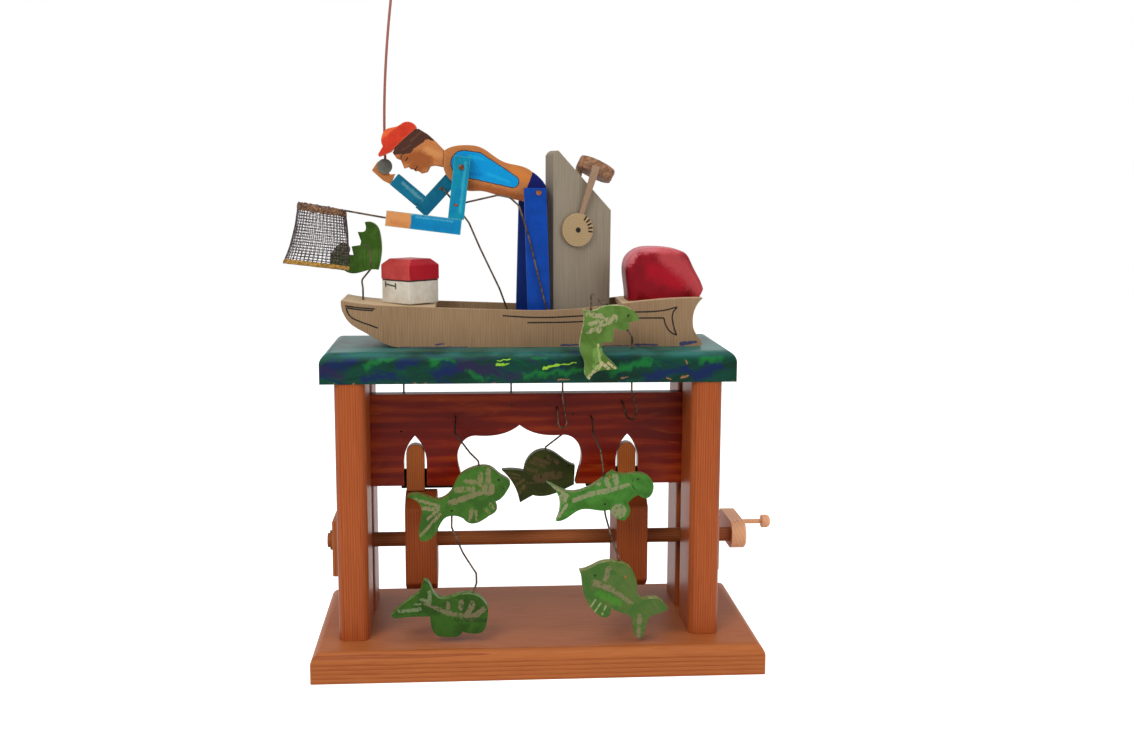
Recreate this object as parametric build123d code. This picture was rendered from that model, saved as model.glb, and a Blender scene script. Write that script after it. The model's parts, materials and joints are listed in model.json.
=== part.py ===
"""Wooden crank automaton: a hand-cranked stand, a lift rail that rides on two cams, and an angler in a boat.

Millimetres, +X right, +Y away from the viewer, +Z up. The origin is the centre of the base board's underside.
"""
from build123d import *
from math import cos, hypot, radians, sin
import os

# ---- stand: boards and posts -------------------------------------------------------------------
base_width = 375.0
base_depth = 184.0
base_thickness = 25.4
board_roundover = 9.5
stand_x = -7.0              # the stand sits this far left of the base's centre line
stand_y = 6.0               # and this far behind it
post_spread = 320.0         # outside to outside of the posts
post_thickness = 25.4
post_depth = 59.5
post_gap = 15.0             # slot between a front post and a back post, where the rail slides
post_length = 217.0
post_roundover = 7.5
wave_width = 342.0
wave_depth = 136.0
wave_thickness = 25.4

# ---- axle, bearings, cams and crank ------------------------------------------------------------
axle_drop = 147.8           # from the wave board's underside down to the axle
axle_diameter = 12.7
running_clearance = 0.08    # radial, of a shaft or pin in its bearing
glue_clearance = 0.05       # radial, of a shaft in a piece that is glued on it
bearing_thickness = 8.5
bearing_width = 40.0
bearing_height = 49.0
axle_left_stub = 5.6        # beyond the left bearing block
axle_right_stub = 12.9      # between the right bearing block and the crank arm
cam_reach = 43.6            # from the axle's centre to a cam's tip
cam_half_depth = 29.0
cam_thickness = 27.0
cam_corner = 4.0
cam_left_x = -99.1
cam_right_x = 83.2
crank_arm_thickness = 13.0
crank_arm_width = 24.6
crank_throw = 43.0
peg_diameter = 4.2
peg_length = 24.5           # outside the arm
knob_diameter = 12.0
knob_length = 8.4
cross_pin_diameter = 2.4
end_pin_diameter = 2.0
end_pin_length = 17.5

# ---- lift rail and its cam shoes ---------------------------------------------------------------
rail_thickness = 12.7
rail_height = 80.6
rail_end_setback = 7.0      # the rail stops this far inside the posts' outer faces
shoe_width = 15.8
shoe_drop = 5.1             # a shoe hangs this far below the rail
shoe_height = 41.3
shoe_gap = 0.3              # between a shoe and the cam's tip
shoe_left_x = -104.0
shoe_right_x = 80.5
slot_half_width = 9.8
slot_spring = 20.0          # where a slot's pointed arch starts, above the rail's lower edge
slot_height = 44.2
backing_length = 48.0
backing_height = 17.0
backing_thickness = 4.0
backing_offset = 11.0       # centre of a backing strip, towards the middle from its shoe
opening_x = -13.5
opening_half_bottom = 49.0
opening_half_width = 53.8
opening_waist = 28.0        # height of the widest place of the opening
opening_shoulder = 43.6
opening_shoulder_half = 24.0
opening_apex = 52.8

# ---- boat --------------------------------------------------------------------------------------
boat_x = -11.0              # middle of the boat's length
boat_front_y = -28.0
boat_beam = 66.0
plank = 3.0
deck_thickness = 4.0
bow_deck_length = 77.5
bow_hole_ahead = 136.0      # wire hole in the bow deck, ahead of the boat's middle
stern_deck_length = 68.0
cooler_side = 34.0
cooler_body_height = 20.0
cooler_lid_height = 17.5
cooler_x = -106.5
cooler_turn = 45.0
cooler_chamfer = 5.0
cowl_depth = 42.0
cowl_roundover = 6.5

# ---- console, helm and angler ------------------------------------------------------------------
console_x = 15.5            # front left corner of the console board
console_y = -1.0
console_turn = 18.0
console_width = 53.5
console_height = 161.0
console_thickness = 19.0
console_side_height = 110.5
console_top_width = 4.5     # the short level part of its top, left of the slope
dial_diameter = 28.4
dial_thickness = 4.0
dial_along = 21.2           # from the console's left edge to the helm pin
dial_up = 94.0
stick_width = 5.0
stick_thickness = 3.6
stick_start = 6.0           # a stick's lower end, out from the helm pin
wheel_clearance = 0.87      # between the helm wheel and the console's sloping top
stick_lean = 17.5
helm_wheel_diameter = 33.0
helm_wheel_thickness = 11.4
helm_gap = 0.35
helm_pin_diameter = 3.0
figure_y = 5.0              # middle plane of the angler
torso_thickness = 12.7
leg_thickness = 9.2
side_gap = 0.35             # between flat pieces that turn against each other
arm_thickness = 9.0
wire_passage = 2.5          # space between the torso and the near arm, where a wire runs
hip_pin_diameter = 2.6
hip_x = 2.4
hip_height = 128.7          # above the wave board
leg_width = 19.0
shoulder_from_hip = (-64.5, 20.7)
shoulder_pin_diameter = 2.4
pin_head_diameter = 4.6
pin_head_height = 1.2
arm_width = 13.4
upper_arm_length = 52.0
forearm_length = 63.4
hand_length = 21.0
head_thickness = 12.4
head_pitch = 55.0           # the face looks this far below level
hat_thickness = 12.6
net_mouth = 37.6
net_mouth_depth = 21.0
net_drop = 50.0
net_bottom = 54.0
net_wall = 0.9
net_rim_diameter = 4.6
reel_diameter = 12.8
reel_thickness = 3.0
rod_diameter = 2.2
fish_thickness = 9.0

# ---- wires -------------------------------------------------------------------------------------
wire_diameter = 1.6
wire_bend = 3.0
wire_hole = 3.6             # where a lift wire slides through a board
hook_clearance = 0.08
peg_in_fish = 5.0
hook_4_height = 40.1        # of the two low fish's hooks, above the base board
hook_5_height = 66.3

# ---- levels that follow from the sizes above ---------------------------------------------------
base_top = base_thickness
wave_bottom = base_top + post_length
wave_top = wave_bottom + wave_thickness
axle_z = wave_bottom - axle_drop
left_face = stand_x - post_spread / 2
right_face = stand_x + post_spread / 2
shoe_bottom = axle_z + cam_reach + shoe_gap
rail_bottom = shoe_bottom + shoe_drop
rail_front = stand_y - rail_thickness / 2
rail_back = stand_y + rail_thickness / 2
boat_back_y = boat_front_y + boat_beam
boat_mid_y = boat_front_y + boat_beam / 2
hull_floor = wave_top + plank
hip_z = wave_top + hip_height
torso_front = figure_y - torso_thickness / 2
torso_back = figure_y + torso_thickness / 2
near_arm_back = torso_front - wire_passage
near_arm_front = near_arm_back - arm_thickness
far_arm_front = torso_back + side_gap
far_arm_back = far_arm_front + arm_thickness
near_leg_back = torso_front - side_gap
near_leg_front = near_leg_back - leg_thickness
far_leg_front = torso_back + side_gap
far_leg_back = far_leg_front + leg_thickness
shoulder_x = hip_x + shoulder_from_hip[0]
shoulder_z = hip_z + shoulder_from_hip[1]
post_front = stand_y - post_gap / 2 - post_depth
bow_hole_x = boat_x - bow_hole_ahead
slope_run = console_width - console_top_width
slope_fall = console_height - console_side_height
slope_normal = (slope_fall / hypot(slope_run, slope_fall), slope_run / hypot(slope_run, slope_fall))
dial_to_slope = ((console_top_width - dial_along) * slope_normal[0]
                 + (console_height - dial_up) * slope_normal[1])
lean_sine, lean_cosine = sin(radians(stick_lean)), cos(radians(stick_lean))
wheel_corner = helm_wheel_diameter / 2 * (lean_cosine * slope_normal[0] - lean_sine * slope_normal[1])
stick_length = (helm_wheel_thickness / 2 + (dial_to_slope + wheel_clearance + wheel_corner)
                / (lean_sine * slope_normal[0] + lean_cosine * slope_normal[1]))

pieces = {}


# ---- small helpers -----------------------------------------------------------------------------
def slab(face, y_front, y_back):
    """A face drawn in X and Z, made solid between two Y planes."""
    return extrude(Plane.XZ.offset(-y_back) * face, y_back - y_front)


def block(x, y, z):
    """A box given by its limits in X, Y and Z."""
    centre = ((x[0] + x[1]) / 2, (y[0] + y[1]) / 2, (z[0] + z[1]) / 2)
    return Pos(*centre) * Box(x[1] - x[0], y[1] - y[0], z[1] - z[0])


def rod_along(axis, diameter, start, end, a, b):
    """A round bar along X, Y or Z; a and b are its other two coordinates in order."""
    length = end - start
    middle = (start + end) / 2
    bar = Cylinder(diameter / 2, length)
    if axis == "X":
        return Pos(middle, a, b) * Rot(0, 90, 0) * bar
    if axis == "Y":
        return Pos(a, middle, b) * Rot(90, 0, 0) * bar
    return Pos(a, b, middle) * bar


def shifted(points, dx, dz):
    return [(x + dx, z + dz) for x, z in points]


def outline(runs):
    """A closed face from runs of points: two points are a line, more are one smooth curve."""
    edges = [Line(*run) if len(run) == 2 else Spline(*run) for run in runs]
    return make_face(edges)


def chained(runs, dx=0.0, dz=0.0):
    """Closes runs that each start where the one before ended, and moves them."""
    moved = [shifted(run, dx, dz) for run in runs]
    full = []
    for n, run in enumerate(moved):
        run = ([moved[n - 1][-1]] if n else []) + run
        if len(run) > 1:
            full.append(run)
    if full[-1][-1] != full[0][0]:
        full.append([full[-1][-1], full[0][0]])
    return outline(full)


def wire(points, bends):
    """Bent wire through the points, with one bend radius for each corner."""
    path = FilletPolyline(*points, radius=bends)
    section = Plane(origin=path @ 0, z_dir=path % 0) * Circle(wire_diameter / 2)
    return sweep(section, path)


def rounded_board(x, y, z, radius):
    """A board with its upper edges rounded over."""
    board = block(x, y, z)
    return fillet(board.faces().sort_by(Axis.Z)[-1].edges(), radius)


# ---- base board, posts and wave board ----------------------------------------------------------
def make_stand():
    pieces["base_board"] = rounded_board(
        (-base_width / 2, base_width / 2), (-base_depth / 2, base_depth / 2), (0, base_top),
        board_roundover)
    front = (post_front, stand_y - post_gap / 2)
    back = (stand_y + post_gap / 2, stand_y + post_gap / 2 + post_depth)
    sides = ((left_face, left_face + post_thickness), (right_face - post_thickness, right_face))
    posts = []
    for x in sides:
        for y in (front, back):
            post = block(x, y, (base_top, wave_bottom))
            posts.append(fillet(post.edges().filter_by(Axis.Z), post_roundover))
    pieces["posts"] = Compound(posts)
    board = rounded_board(
        (stand_x - wave_width / 2, stand_x + wave_width / 2),
        (stand_y - wave_depth / 2, stand_y + wave_depth / 2), (wave_bottom, wave_top),
        board_roundover)
    for x, y in board_holes():
        board -= rod_along("Z", wire_hole, wave_bottom - 1, wave_top + 1, x, y)
    pieces["wave_board"] = board


def make_bearings():
    bearings = []
    for inner, outer in ((left_face, left_face - bearing_thickness),
                         (right_face, right_face + bearing_thickness)):
        bearing = block(
            (min(inner, outer), max(inner, outer)),
            (stand_y - bearing_width / 2, stand_y + bearing_width / 2),
            (axle_z - bearing_height * 0.56, axle_z + bearing_height * 0.44))
        bore = axle_diameter + 2 * running_clearance
        bearing -= rod_along("X", bore, min(inner, outer) - 1, max(inner, outer) + 1, stand_y, axle_z)
        bearings.append(bearing)
    pieces["bearing_blocks"] = Compound(bearings)


# ---- axle, cams and crank ----------------------------------------------------------------------
axle_left_end = left_face - bearing_thickness - axle_left_stub
arm_left_x = right_face + bearing_thickness + axle_right_stub
arm_right_x = arm_left_x + crank_arm_thickness
peg_y = stand_y + crank_throw
end_pin_x = axle_left_end + axle_left_stub / 2
cross_pin_x = (arm_left_x + arm_right_x) / 2


def cam_outline():
    """A bar cam seen along the axle: flat sides, and tips that are arcs about the axle."""
    disc = Circle(cam_reach)
    bar = Rectangle(2 * cam_half_depth, 2 * cam_reach)
    face = disc & bar
    return fillet(face.vertices(), cam_corner)


def make_crank():
    axle = rod_along("X", axle_diameter, axle_left_end, arm_right_x, stand_y, axle_z)
    bore = end_pin_diameter + 2 * glue_clearance
    axle -= rod_along("Z", bore, axle_z - axle_diameter, axle_z + axle_diameter, end_pin_x, stand_y)
    bore = cross_pin_diameter + 2 * glue_clearance
    axle -= rod_along("Z", bore, axle_z - axle_diameter, axle_z + axle_diameter, cross_pin_x, stand_y)
    pieces["axle"] = axle
    end_pin = rod_along(
        "Z", end_pin_diameter, axle_z - end_pin_length / 2, axle_z + end_pin_length / 2,
        end_pin_x, stand_y)
    for side, x in (("left", cam_left_x), ("right", cam_right_x)):
        plane = Plane(origin=(x - cam_thickness / 2, stand_y, axle_z), x_dir=(0, 1, 0), z_dir=(1, 0, 0))
        cam = extrude(plane * cam_outline(), cam_thickness)
        cam -= rod_along("X", axle_diameter + 2 * glue_clearance, x - cam_thickness,
                         x + cam_thickness, stand_y, axle_z)
        pieces[f"{side}_cam"] = cam
    plane = Plane(origin=(arm_left_x, stand_y + crank_throw / 2, axle_z), x_dir=(0, 1, 0), z_dir=(1, 0, 0))
    arm = extrude(plane * SlotCenterToCenter(crank_throw, crank_arm_width), crank_arm_thickness)
    arm = chamfer(arm.faces().sort_by(Axis.X)[-1].edges(), 1.2)
    arm -= rod_along("X", axle_diameter + 2 * glue_clearance, arm_left_x - 1, arm_right_x + 1,
                     stand_y, axle_z)
    arm -= rod_along("X", peg_diameter + 2 * glue_clearance, arm_left_x - 1, arm_right_x + 1,
                     peg_y, axle_z)
    half = crank_arm_width / 2
    bore = cross_pin_diameter + 2 * glue_clearance
    arm -= rod_along("Z", bore, axle_z - half - 1, axle_z + half + 1, cross_pin_x, stand_y)
    pieces["crank_arm"] = arm
    cross_pin = rod_along(
        "Z", cross_pin_diameter, axle_z - half + 0.5, axle_z + half - 0.5, cross_pin_x, stand_y)
    pieces["axle_pins"] = Compound([end_pin, cross_pin])
    knob_x = arm_right_x + peg_length
    peg = rod_along("X", peg_diameter, arm_left_x, knob_x, peg_y, axle_z)
    knob = rod_along("X", knob_diameter, knob_x, knob_x + knob_length, peg_y, axle_z)
    knob = fillet(knob.edges().sort_by(Axis.X)[-1], knob_diameter * 0.34)
    knob = fillet(knob.edges().sort_by(Axis.X)[0], 1.2)
    pieces["crank_peg"] = peg + knob


# ---- lift rail ---------------------------------------------------------------------------------
def half_opening():
    """Right half of the rail's ogee opening, from its lower edge to its point, from the middle."""
    return [[(opening_half_bottom, 0.0), (opening_half_width - 1.5, opening_waist * 0.5),
             (opening_half_width, opening_waist), (opening_half_width - 5.0, opening_shoulder - 4.5),
             (opening_shoulder_half + 12.0, opening_shoulder)],
            [(opening_shoulder_half + 12.0, opening_shoulder), (opening_shoulder_half, opening_shoulder),
             (opening_shoulder_half * 0.5, opening_shoulder + 2.5), (0.0, opening_apex)]]


def opening_face():
    right = half_opening()
    left = [[(-x, z) for x, z in reversed(run)] for run in reversed(right)]
    below = [(-opening_half_bottom, 0.0), (-opening_half_bottom, -5.0), (opening_half_bottom, -5.0),
             (opening_half_bottom, 0.0)]
    curves = [Spline(*run) for run in right + left]
    curves += [Line(a, b) for a, b in zip(below, below[1:])]
    return make_face(curves)


def slot_face():
    """A pointed slot, open at the rail's lower edge."""
    w = slot_half_width
    sides = [Line((-w, slot_spring), (-w, -5.0)), Line((-w, -5.0), (w, -5.0)),
             Line((w, -5.0), (w, slot_spring))]
    haunch = slot_spring + 0.62 * (slot_height - slot_spring)
    arch = [ThreePointArc((s * w, slot_spring), (s * w * 0.66, haunch), (0.0, slot_height)) for s in (-1, 1)]
    return make_face(sides + arch)


# where each wire or hook enters the rail: (X, height above the rail's lower edge)
rail_holes = {
    "net_fish": (-115.8, 48.1),
    "fish_1": (-68.6, 60.7),
    "far_arm": (-20.3, 69.6),
    "near_arm": (18.9, 68.0),
    "fish_2": (33.0, 62.0),
    "fish_3": (48.9, 59.6),
    "jump_fish": (75.6, 72.8),
}


def make_rail():
    x0 = left_face + rail_end_setback
    x1 = right_face - rail_end_setback
    face = Pos((x0 + x1) / 2, rail_height / 2) * Rectangle(x1 - x0, rail_height)
    face -= Pos(opening_x, 0) * opening_face()
    for x in (shoe_left_x, shoe_right_x):
        face -= Pos(x, 0) * slot_face()
    rail = slab(Pos(0, rail_bottom) * face, rail_front, rail_back)
    for x, up in rail_holes.values():
        rail -= rod_along("Y", wire_diameter + 2 * hook_clearance, rail_front - 1, rail_back + 1,
                          x, rail_bottom + up)
    pieces["lift_rail"] = rail
    shoes = []
    backings = []
    for x, inward in ((shoe_left_x, 1), (shoe_right_x, -1)):
        straight = shoe_height - shoe_width / 2
        shoe = Pos(x, shoe_bottom + straight / 2) * Rectangle(shoe_width, straight)
        shoe += Pos(x, shoe_bottom + straight) * Circle(shoe_width / 2)
        shoes.append(slab(shoe, rail_front + 1.0, rail_back))
        middle = x + inward * backing_offset
        backings.append(block(
            (middle - backing_length / 2, middle + backing_length / 2),
            (rail_back, rail_back + backing_thickness), (shoe_bottom, shoe_bottom + backing_height)))
    pieces["cam_shoes"] = Compound(shoes)
    pieces["shoe_backings"] = Compound(backings)


# ---- wires that the rail lifts -----------------------------------------------------------------
near_wire_y = near_leg_front - 2.5
far_wire_y = rail_back + 3.65
jump_wire_at = (79.0, -42.0)
net_wire_x = -113.8


def board_holes():
    """Where the four lift wires slide through the wave board."""
    return [(rail_holes["near_arm"][0] + 4.0, near_wire_y), (rail_holes["far_arm"][0], far_wire_y),
            (net_wire_x, far_wire_y), jump_wire_at]


def hull_holes():
    return board_holes()[:3]


def make_lift_wires():
    near_x, near_z = rail_holes["near_arm"][0], rail_bottom + rail_holes["near_arm"][1]
    passage = torso_front - wire_passage / 2
    arm_pin_x = shoulder_x - 4.9
    arm_pin_z = shoulder_z - 31.0
    pieces["near_arm_wire"] = wire([
        (near_x, rail_back - 1.0, near_z), (near_x, rail_front - 4.5, near_z),
        (near_x + 1.0, rail_front - 6.0, near_z - 15.0), (near_x + 6.0, rail_front - 8.0, near_z - 18.0),
        (near_x + 8.0, rail_front - 9.0, near_z - 12.0), (near_x + 4.0, near_wire_y, near_z + 10.0),
        (near_x + 4.0, near_wire_y, wave_top + 17.0), (hip_x + 6.2, near_wire_y, wave_top + 32.0),
        (hip_x - 9.5, near_wire_y, hip_z - 33.0), (hip_x - 16.5, near_wire_y + 1.0, hip_z - 11.0),
        (hip_x - 24.0, passage, hip_z - 4.2), (hip_x - 34.0, passage, hip_z - 2.3),
        (arm_pin_x + 0.5, passage, arm_pin_z)],
        [3.0, 4.0, 2.5, 2.5, 6.0, 6.0, 6.0, 12.0, 6.0, 4.0, 8.0])
    far_x, far_z = rail_holes["far_arm"][0], rail_bottom + rail_holes["far_arm"][1]
    eye_y = figure_y + 5.0
    pieces["far_arm_wire"] = wire([
        (far_x, rail_front - 1.5, far_z), (far_x, far_wire_y, far_z),
        (far_x, far_wire_y, wave_top + 19.0), (hip_x - 32.5, eye_y + 2.0, wave_top + 46.0),
        (hip_x - 49.0, eye_y, hip_z - 48.0), (hip_x - 58.5, eye_y, hip_z - 26.0),
        (hip_x - 75.0, eye_y, hip_z - 3.5), (hip_x - 81.2, eye_y, hip_z + 3.7)],
        [3.0, 8.0, 16.0, 14.0, 10.0, 3.0])
    net_x, net_z = rail_holes["net_fish"][0], rail_bottom + rail_holes["net_fish"][1]
    net_wire_y = net_fish_y
    pieces["net_fish_wire"] = wire([
        (net_x, rail_back - 6.0, net_z), (net_x, far_wire_y, net_z),
        (net_wire_x, far_wire_y, net_z + 20.0), (net_wire_x, far_wire_y, wave_top + 14.5),
        (bow_hole_x, net_wire_y, wave_top + 20.0), (bow_hole_x, net_wire_y, wave_top + 47.0),
        (bow_hole_x - 1.0, net_wire_y, wave_top + 54.0), (bow_hole_x + 7.0, net_wire_y, wave_top + 63.5),
        (bow_hole_x + 5.0, net_wire_y, wave_top + 80.0)],
        [2.0, 8.0, 3.0, 3.0, 4.0, 5.0, 4.0])
    jump_x, jump_z = rail_holes["jump_fish"][0], rail_bottom + rail_holes["jump_fish"][1]
    x, y = jump_wire_at
    pieces["jump_fish_wire"] = wire([
        (jump_x, rail_back - 3.0, jump_z), (jump_x, rail_front - 6.0, jump_z),
        (jump_x + 3.0, rail_front - 13.0, jump_z - 12.0), (jump_x + 8.0, rail_front - 22.0, jump_z - 13.0),
        (jump_x + 10.0, rail_front - 30.0, jump_z - 1.0), (x, y, wave_bottom - 12.0), (x, y, wave_top + 7.0),
        (x - 3.5, jump_fish_y, wave_top + 14.0), (x - 11.0, jump_fish_y, wave_top + 23.5)],
        [3.0, 4.0, 4.0, 4.0, 6.0, 4.0, 3.0])


# ---- boat --------------------------------------------------------------------------------------
# Side outline, from the middle of the boat and up from the wave board.
sheer = [(-151.5, 39.7), (-121.0, 35.6), (-98.0, 34.6), (-16.7, 31.9), (13.7, 31.2), (49.0, 33.0),
         (87.0, 37.0), (151.5, 41.1)]
stern = [(151.5, 41.1), (144.4, 30.5), (143.2, 22.0), (146.0, 11.0), (150.6, 1.2), (149.0, 0.0)]
bow = [(-101.5, 0.0), (-118.0, 4.5), (-131.5, 12.6), (-143.8, 20.3), (-149.8, 29.1), (-151.5, 39.7)]


def hull_face():
    edges = [Spline(*shifted(sheer, boat_x, wave_top)), Spline(*shifted(stern, boat_x, wave_top)),
             Line(*shifted([stern[-1], bow[0]], boat_x, wave_top)), Spline(*shifted(bow, boat_x, wave_top))]
    return make_face(edges)


def inset(points, distance):
    """The points of a curve moved to the right of the way it runs."""
    moved = []
    for n, (x, z) in enumerate(points):
        before = points[max(n - 1, 0)]
        after = points[min(n + 1, len(points) - 1)]
        dx, dz = after[0] - before[0], after[1] - before[1]
        moved.append((x + distance * dz / hypot(dx, dz), z - distance * dx / hypot(dx, dz)))
    return moved


def end_planks():
    """The bent bow plate and the transom, as faces about the boat's middle and the wave board's top."""
    bow_inner = [(bow[0][0], plank)] + inset(bow, plank)[1:]
    bow_face = make_face([Spline(*bow), Line(bow[-1], bow_inner[-1]), Spline(*reversed(bow_inner)),
                          Line(bow_inner[0], bow[0])])
    stern_inner = inset(stern, plank)[:-2]
    foot = stern[-1][0] - 4.0
    stern_face = make_face([Spline(*stern), Line(stern[-1], (foot, 0.0)), Line((foot, 0.0), (foot, plank)),
                            Line((foot, plank), stern_inner[-1]), Spline(*reversed(stern_inner)),
                            Line(stern_inner[0], stern[0])])
    return bow_face, stern_face, foot


def make_boat():
    side = hull_face()
    pieces["hull_sides"] = Compound([slab(side, boat_front_y, boat_front_y + plank),
                                     slab(side, boat_back_y - plank, boat_back_y)])
    inner_front = boat_front_y + plank
    inner_back = boat_back_y - plank
    across = (inner_front - 1.0, inner_back + 1.0)
    bow_face, stern_face, foot = end_planks()
    bow_end = boat_x + bow[0][0]
    stern_start = boat_x + foot
    floor = block((bow_end, stern_start), (inner_front, inner_back), (wave_top, hull_floor))
    for x, y in hull_holes():
        floor -= rod_along("Z", wire_hole, wave_top - 1, hull_floor + 1, x, y)
    pieces["hull_bottom"] = floor
    deck_face = side - (Pos(0, -deck_thickness) * side)
    decks = slab(deck_face, inner_front, inner_back)
    bow_x = boat_x + sheer[0][0]
    bow_deck = decks & block(
        (bow_x - 5.0, bow_x + bow_deck_length), across, (wave_top + 20.0, wave_top + 60.0))
    net_wire = (bow_hole_x, net_fish_y)
    bow_deck -= rod_along("Z", wire_hole, wave_top, wave_top + 60.0, *net_wire)
    stern_x = boat_x + sheer[-1][0]
    stern_deck = decks & block(
        (stern_x - stern_deck_length, stern_x + 5.0), across, (wave_top + 26.0, wave_top + 60.0))
    # the planks that close the ends stop below the decks
    place = Pos(boat_x, wave_top)
    for name, face, deck in (("bow_plate", bow_face, bow_deck), ("transom", stern_face, stern_deck)):
        cut = slab(place * face, inner_front, inner_back) - deck
        for x, y in hull_holes():
            cut -= rod_along("Z", wire_hole, wave_top - 1, wave_top + 10.0, x, y)
        pieces[name] = cut.solids().sort_by(SortBy.VOLUME)[-1]
    pieces["bow_deck"] = bow_deck
    pieces["stern_deck"] = stern_deck


def make_load():
    """The cooler on the bow deck and the outboard motor's cowl on the stern deck."""
    deck_z = wave_top + 35.3
    turned = Pos(cooler_x, boat_mid_y, deck_z) * Rot(0, 0, cooler_turn)
    body = turned * Pos(0, 0, cooler_body_height / 2) * Box(cooler_side, cooler_side, cooler_body_height)
    pieces["cooler_body"] = body - pieces["bow_deck"]
    lid = turned * Pos(0, 0, cooler_body_height + cooler_lid_height / 2) * Box(
        cooler_side + 1.0, cooler_side + 1.0, cooler_lid_height)
    lid = chamfer(lid.faces().sort_by(Axis.Z)[-1].edges(), cooler_chamfer)
    pieces["cooler_lid"] = fillet(lid.faces().sort_by(Axis.Z)[-1].edges(), 1.5)
    profile = [(88.6, 30.0), (88.0, 55.0), (89.8, 73.5), (99.0, 81.0), (112.0, 82.8), (128.1, 81.6),
               (139.0, 77.6), (144.6, 68.0), (153.0, 52.0), (155.0, 30.0)]
    moved = shifted(profile, boat_x, wave_top)
    face = make_face([Spline(*moved), Line(moved[-1], moved[0])])
    cowl = slab(face, boat_mid_y - cowl_depth / 2, boat_mid_y + cowl_depth / 2)
    ends = cowl.faces().filter_by(Axis.Y).edges()
    cowl = fillet(ends, cowl_roundover)
    pieces["outboard_cowl"] = cowl - slab(
        hull_face(), boat_front_y - 1, boat_back_y + 1)


# ---- console and helm --------------------------------------------------------------------------
def console_plane(into=0.0):
    """Drawing plane on the console's front face; u runs along the board and z up from the hull floor."""
    turn = radians(console_turn)
    across = (cos(turn), sin(turn), 0)
    normal = (sin(turn), -cos(turn), 0)
    origin = Vector(console_x, console_y, hull_floor) - Vector(*normal) * into
    return Plane(origin=origin, x_dir=across, z_dir=normal)


def make_console():
    shape = [(0.0, 0.0), (0.0, console_height - 4.5), (1.5, console_height - 2.0),
             (console_top_width, console_height),
             (console_width, console_side_height), (console_width - 1.0, 0.0)]
    face = make_face(Polyline(*shape, close=True))
    board = extrude(console_plane(console_thickness) * face, console_thickness)
    pin_hole = console_plane(console_thickness + 1) * Pos(dial_along, dial_up) * Circle(
        helm_pin_diameter / 2 + running_clearance)
    pieces["console_board"] = board - extrude(pin_hole, console_thickness + 2)


def make_helm():
    """Two dial discs and two sticks on one pin through the console, with the wheel across their tops."""
    top = (dial_along + stick_length * lean_sine, dial_up + stick_length * lean_cosine)
    half_way = 0.5 * (stick_length + stick_start)
    middle = (dial_along + half_way * lean_sine, dial_up + half_way * lean_cosine)
    near = -helm_gap - stick_thickness
    far = console_thickness + helm_gap
    stick = Pos(*middle) * Rot(0, 0, -stick_lean) * Rectangle(stick_width, stick_length - stick_start)
    helm_sticks = []
    helm_discs = []
    for level in (near, far):
        plane = console_plane(level + stick_thickness)
        bar = extrude(plane * stick, stick_thickness)
        disc = extrude(plane * Pos(dial_along, dial_up) * Circle(dial_diameter / 2), stick_thickness)
        hole = extrude(plane * Pos(dial_along, dial_up) * Circle(helm_pin_diameter / 2 + glue_clearance),
                       stick_thickness)
        helm_sticks.append(bar - disc)
        helm_discs.append(disc - hole)
    mid_level = console_thickness / 2
    hub = console_plane(mid_level)
    tip = hub.from_local_coords(Vector(top[0], top[1], 0))
    along = hub.from_local_coords(Vector(top[0] + lean_sine, top[1] + lean_cosine, 0)) - tip
    wheel_plane = Plane(origin=tip - along * helm_wheel_thickness / 2, z_dir=along)
    wheel = extrude(wheel_plane * Circle(helm_wheel_diameter / 2), helm_wheel_thickness)
    for bar in helm_sticks:
        wheel -= bar
    pieces["helm_sticks"] = Compound(helm_sticks)
    pieces["helm_discs"] = Compound(helm_discs)
    pieces["helm_wheel"] = wheel
    pin = console_plane(far + stick_thickness) * Pos(dial_along, dial_up) * Circle(helm_pin_diameter / 2)
    pieces["helm_pin"] = extrude(pin, far + stick_thickness - near)


# ---- angler: legs, torso, head -----------------------------------------------------------------
torso_top = [(-78.9, 34.7), (-74.8, 37.0), (-61.4, 39.3), (-48.8, 37.7), (-37.1, 30.3), (-27.4, 25.0),
             (-14.4, 22.1), (-5.1, 17.5)]
torso_hip = [(-5.1, 17.5), (3.2, 10.6), (7.2, 3.0), (4.8, -5.6), (-3.0, -8.6), (-13.3, -7.2)]
torso_under = [(-13.3, -7.2), (-25.4, -4.7), (-37.0, -1.6), (-49.0, 1.1), (-58.3, 1.1), (-68.0, 5.2),
               (-73.5, 10.2)]
torso_chest = [(-73.5, 10.2), (-78.2, 16.0), (-79.6, 21.0)]
neck_end = [(-79.6, 21.0), (-78.9, 34.7)]


def torso_face():
    runs = [torso_top, torso_hip, torso_under, torso_chest, neck_end]
    return outline([shifted(run, hip_x, hip_z) for run in runs])


def make_legs():
    drop = hip_height - plank
    pin = hip_pin_diameter / 2
    near = [(-12.2, 3.8), (6.4, 3.8), (10.9, -drop), (-8.4, -drop)]
    far = [(-15.6, 3.8), (3.4, 3.8), (0.0, -drop), (-19.0, -drop)]
    for name, shape, front, back in (("near", near, near_leg_front, near_leg_back),
                                     ("far", far, far_leg_front, far_leg_back)):
        leg = slab(make_face(Polyline(*shifted(shape, hip_x, hip_z), close=True)), front, back)
        leg -= rod_along("Y", 2 * (pin + glue_clearance), front - 1, back + 1, hip_x, hip_z)
        pieces[f"{name}_leg"] = leg
    hip = rod_along("Y", hip_pin_diameter, near_leg_front, far_leg_back, hip_x, hip_z)
    head = rod_along("Y", pin_head_diameter, near_leg_front - pin_head_height, near_leg_front, hip_x, hip_z)
    pieces["hip_pin"] = hip + head


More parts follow.
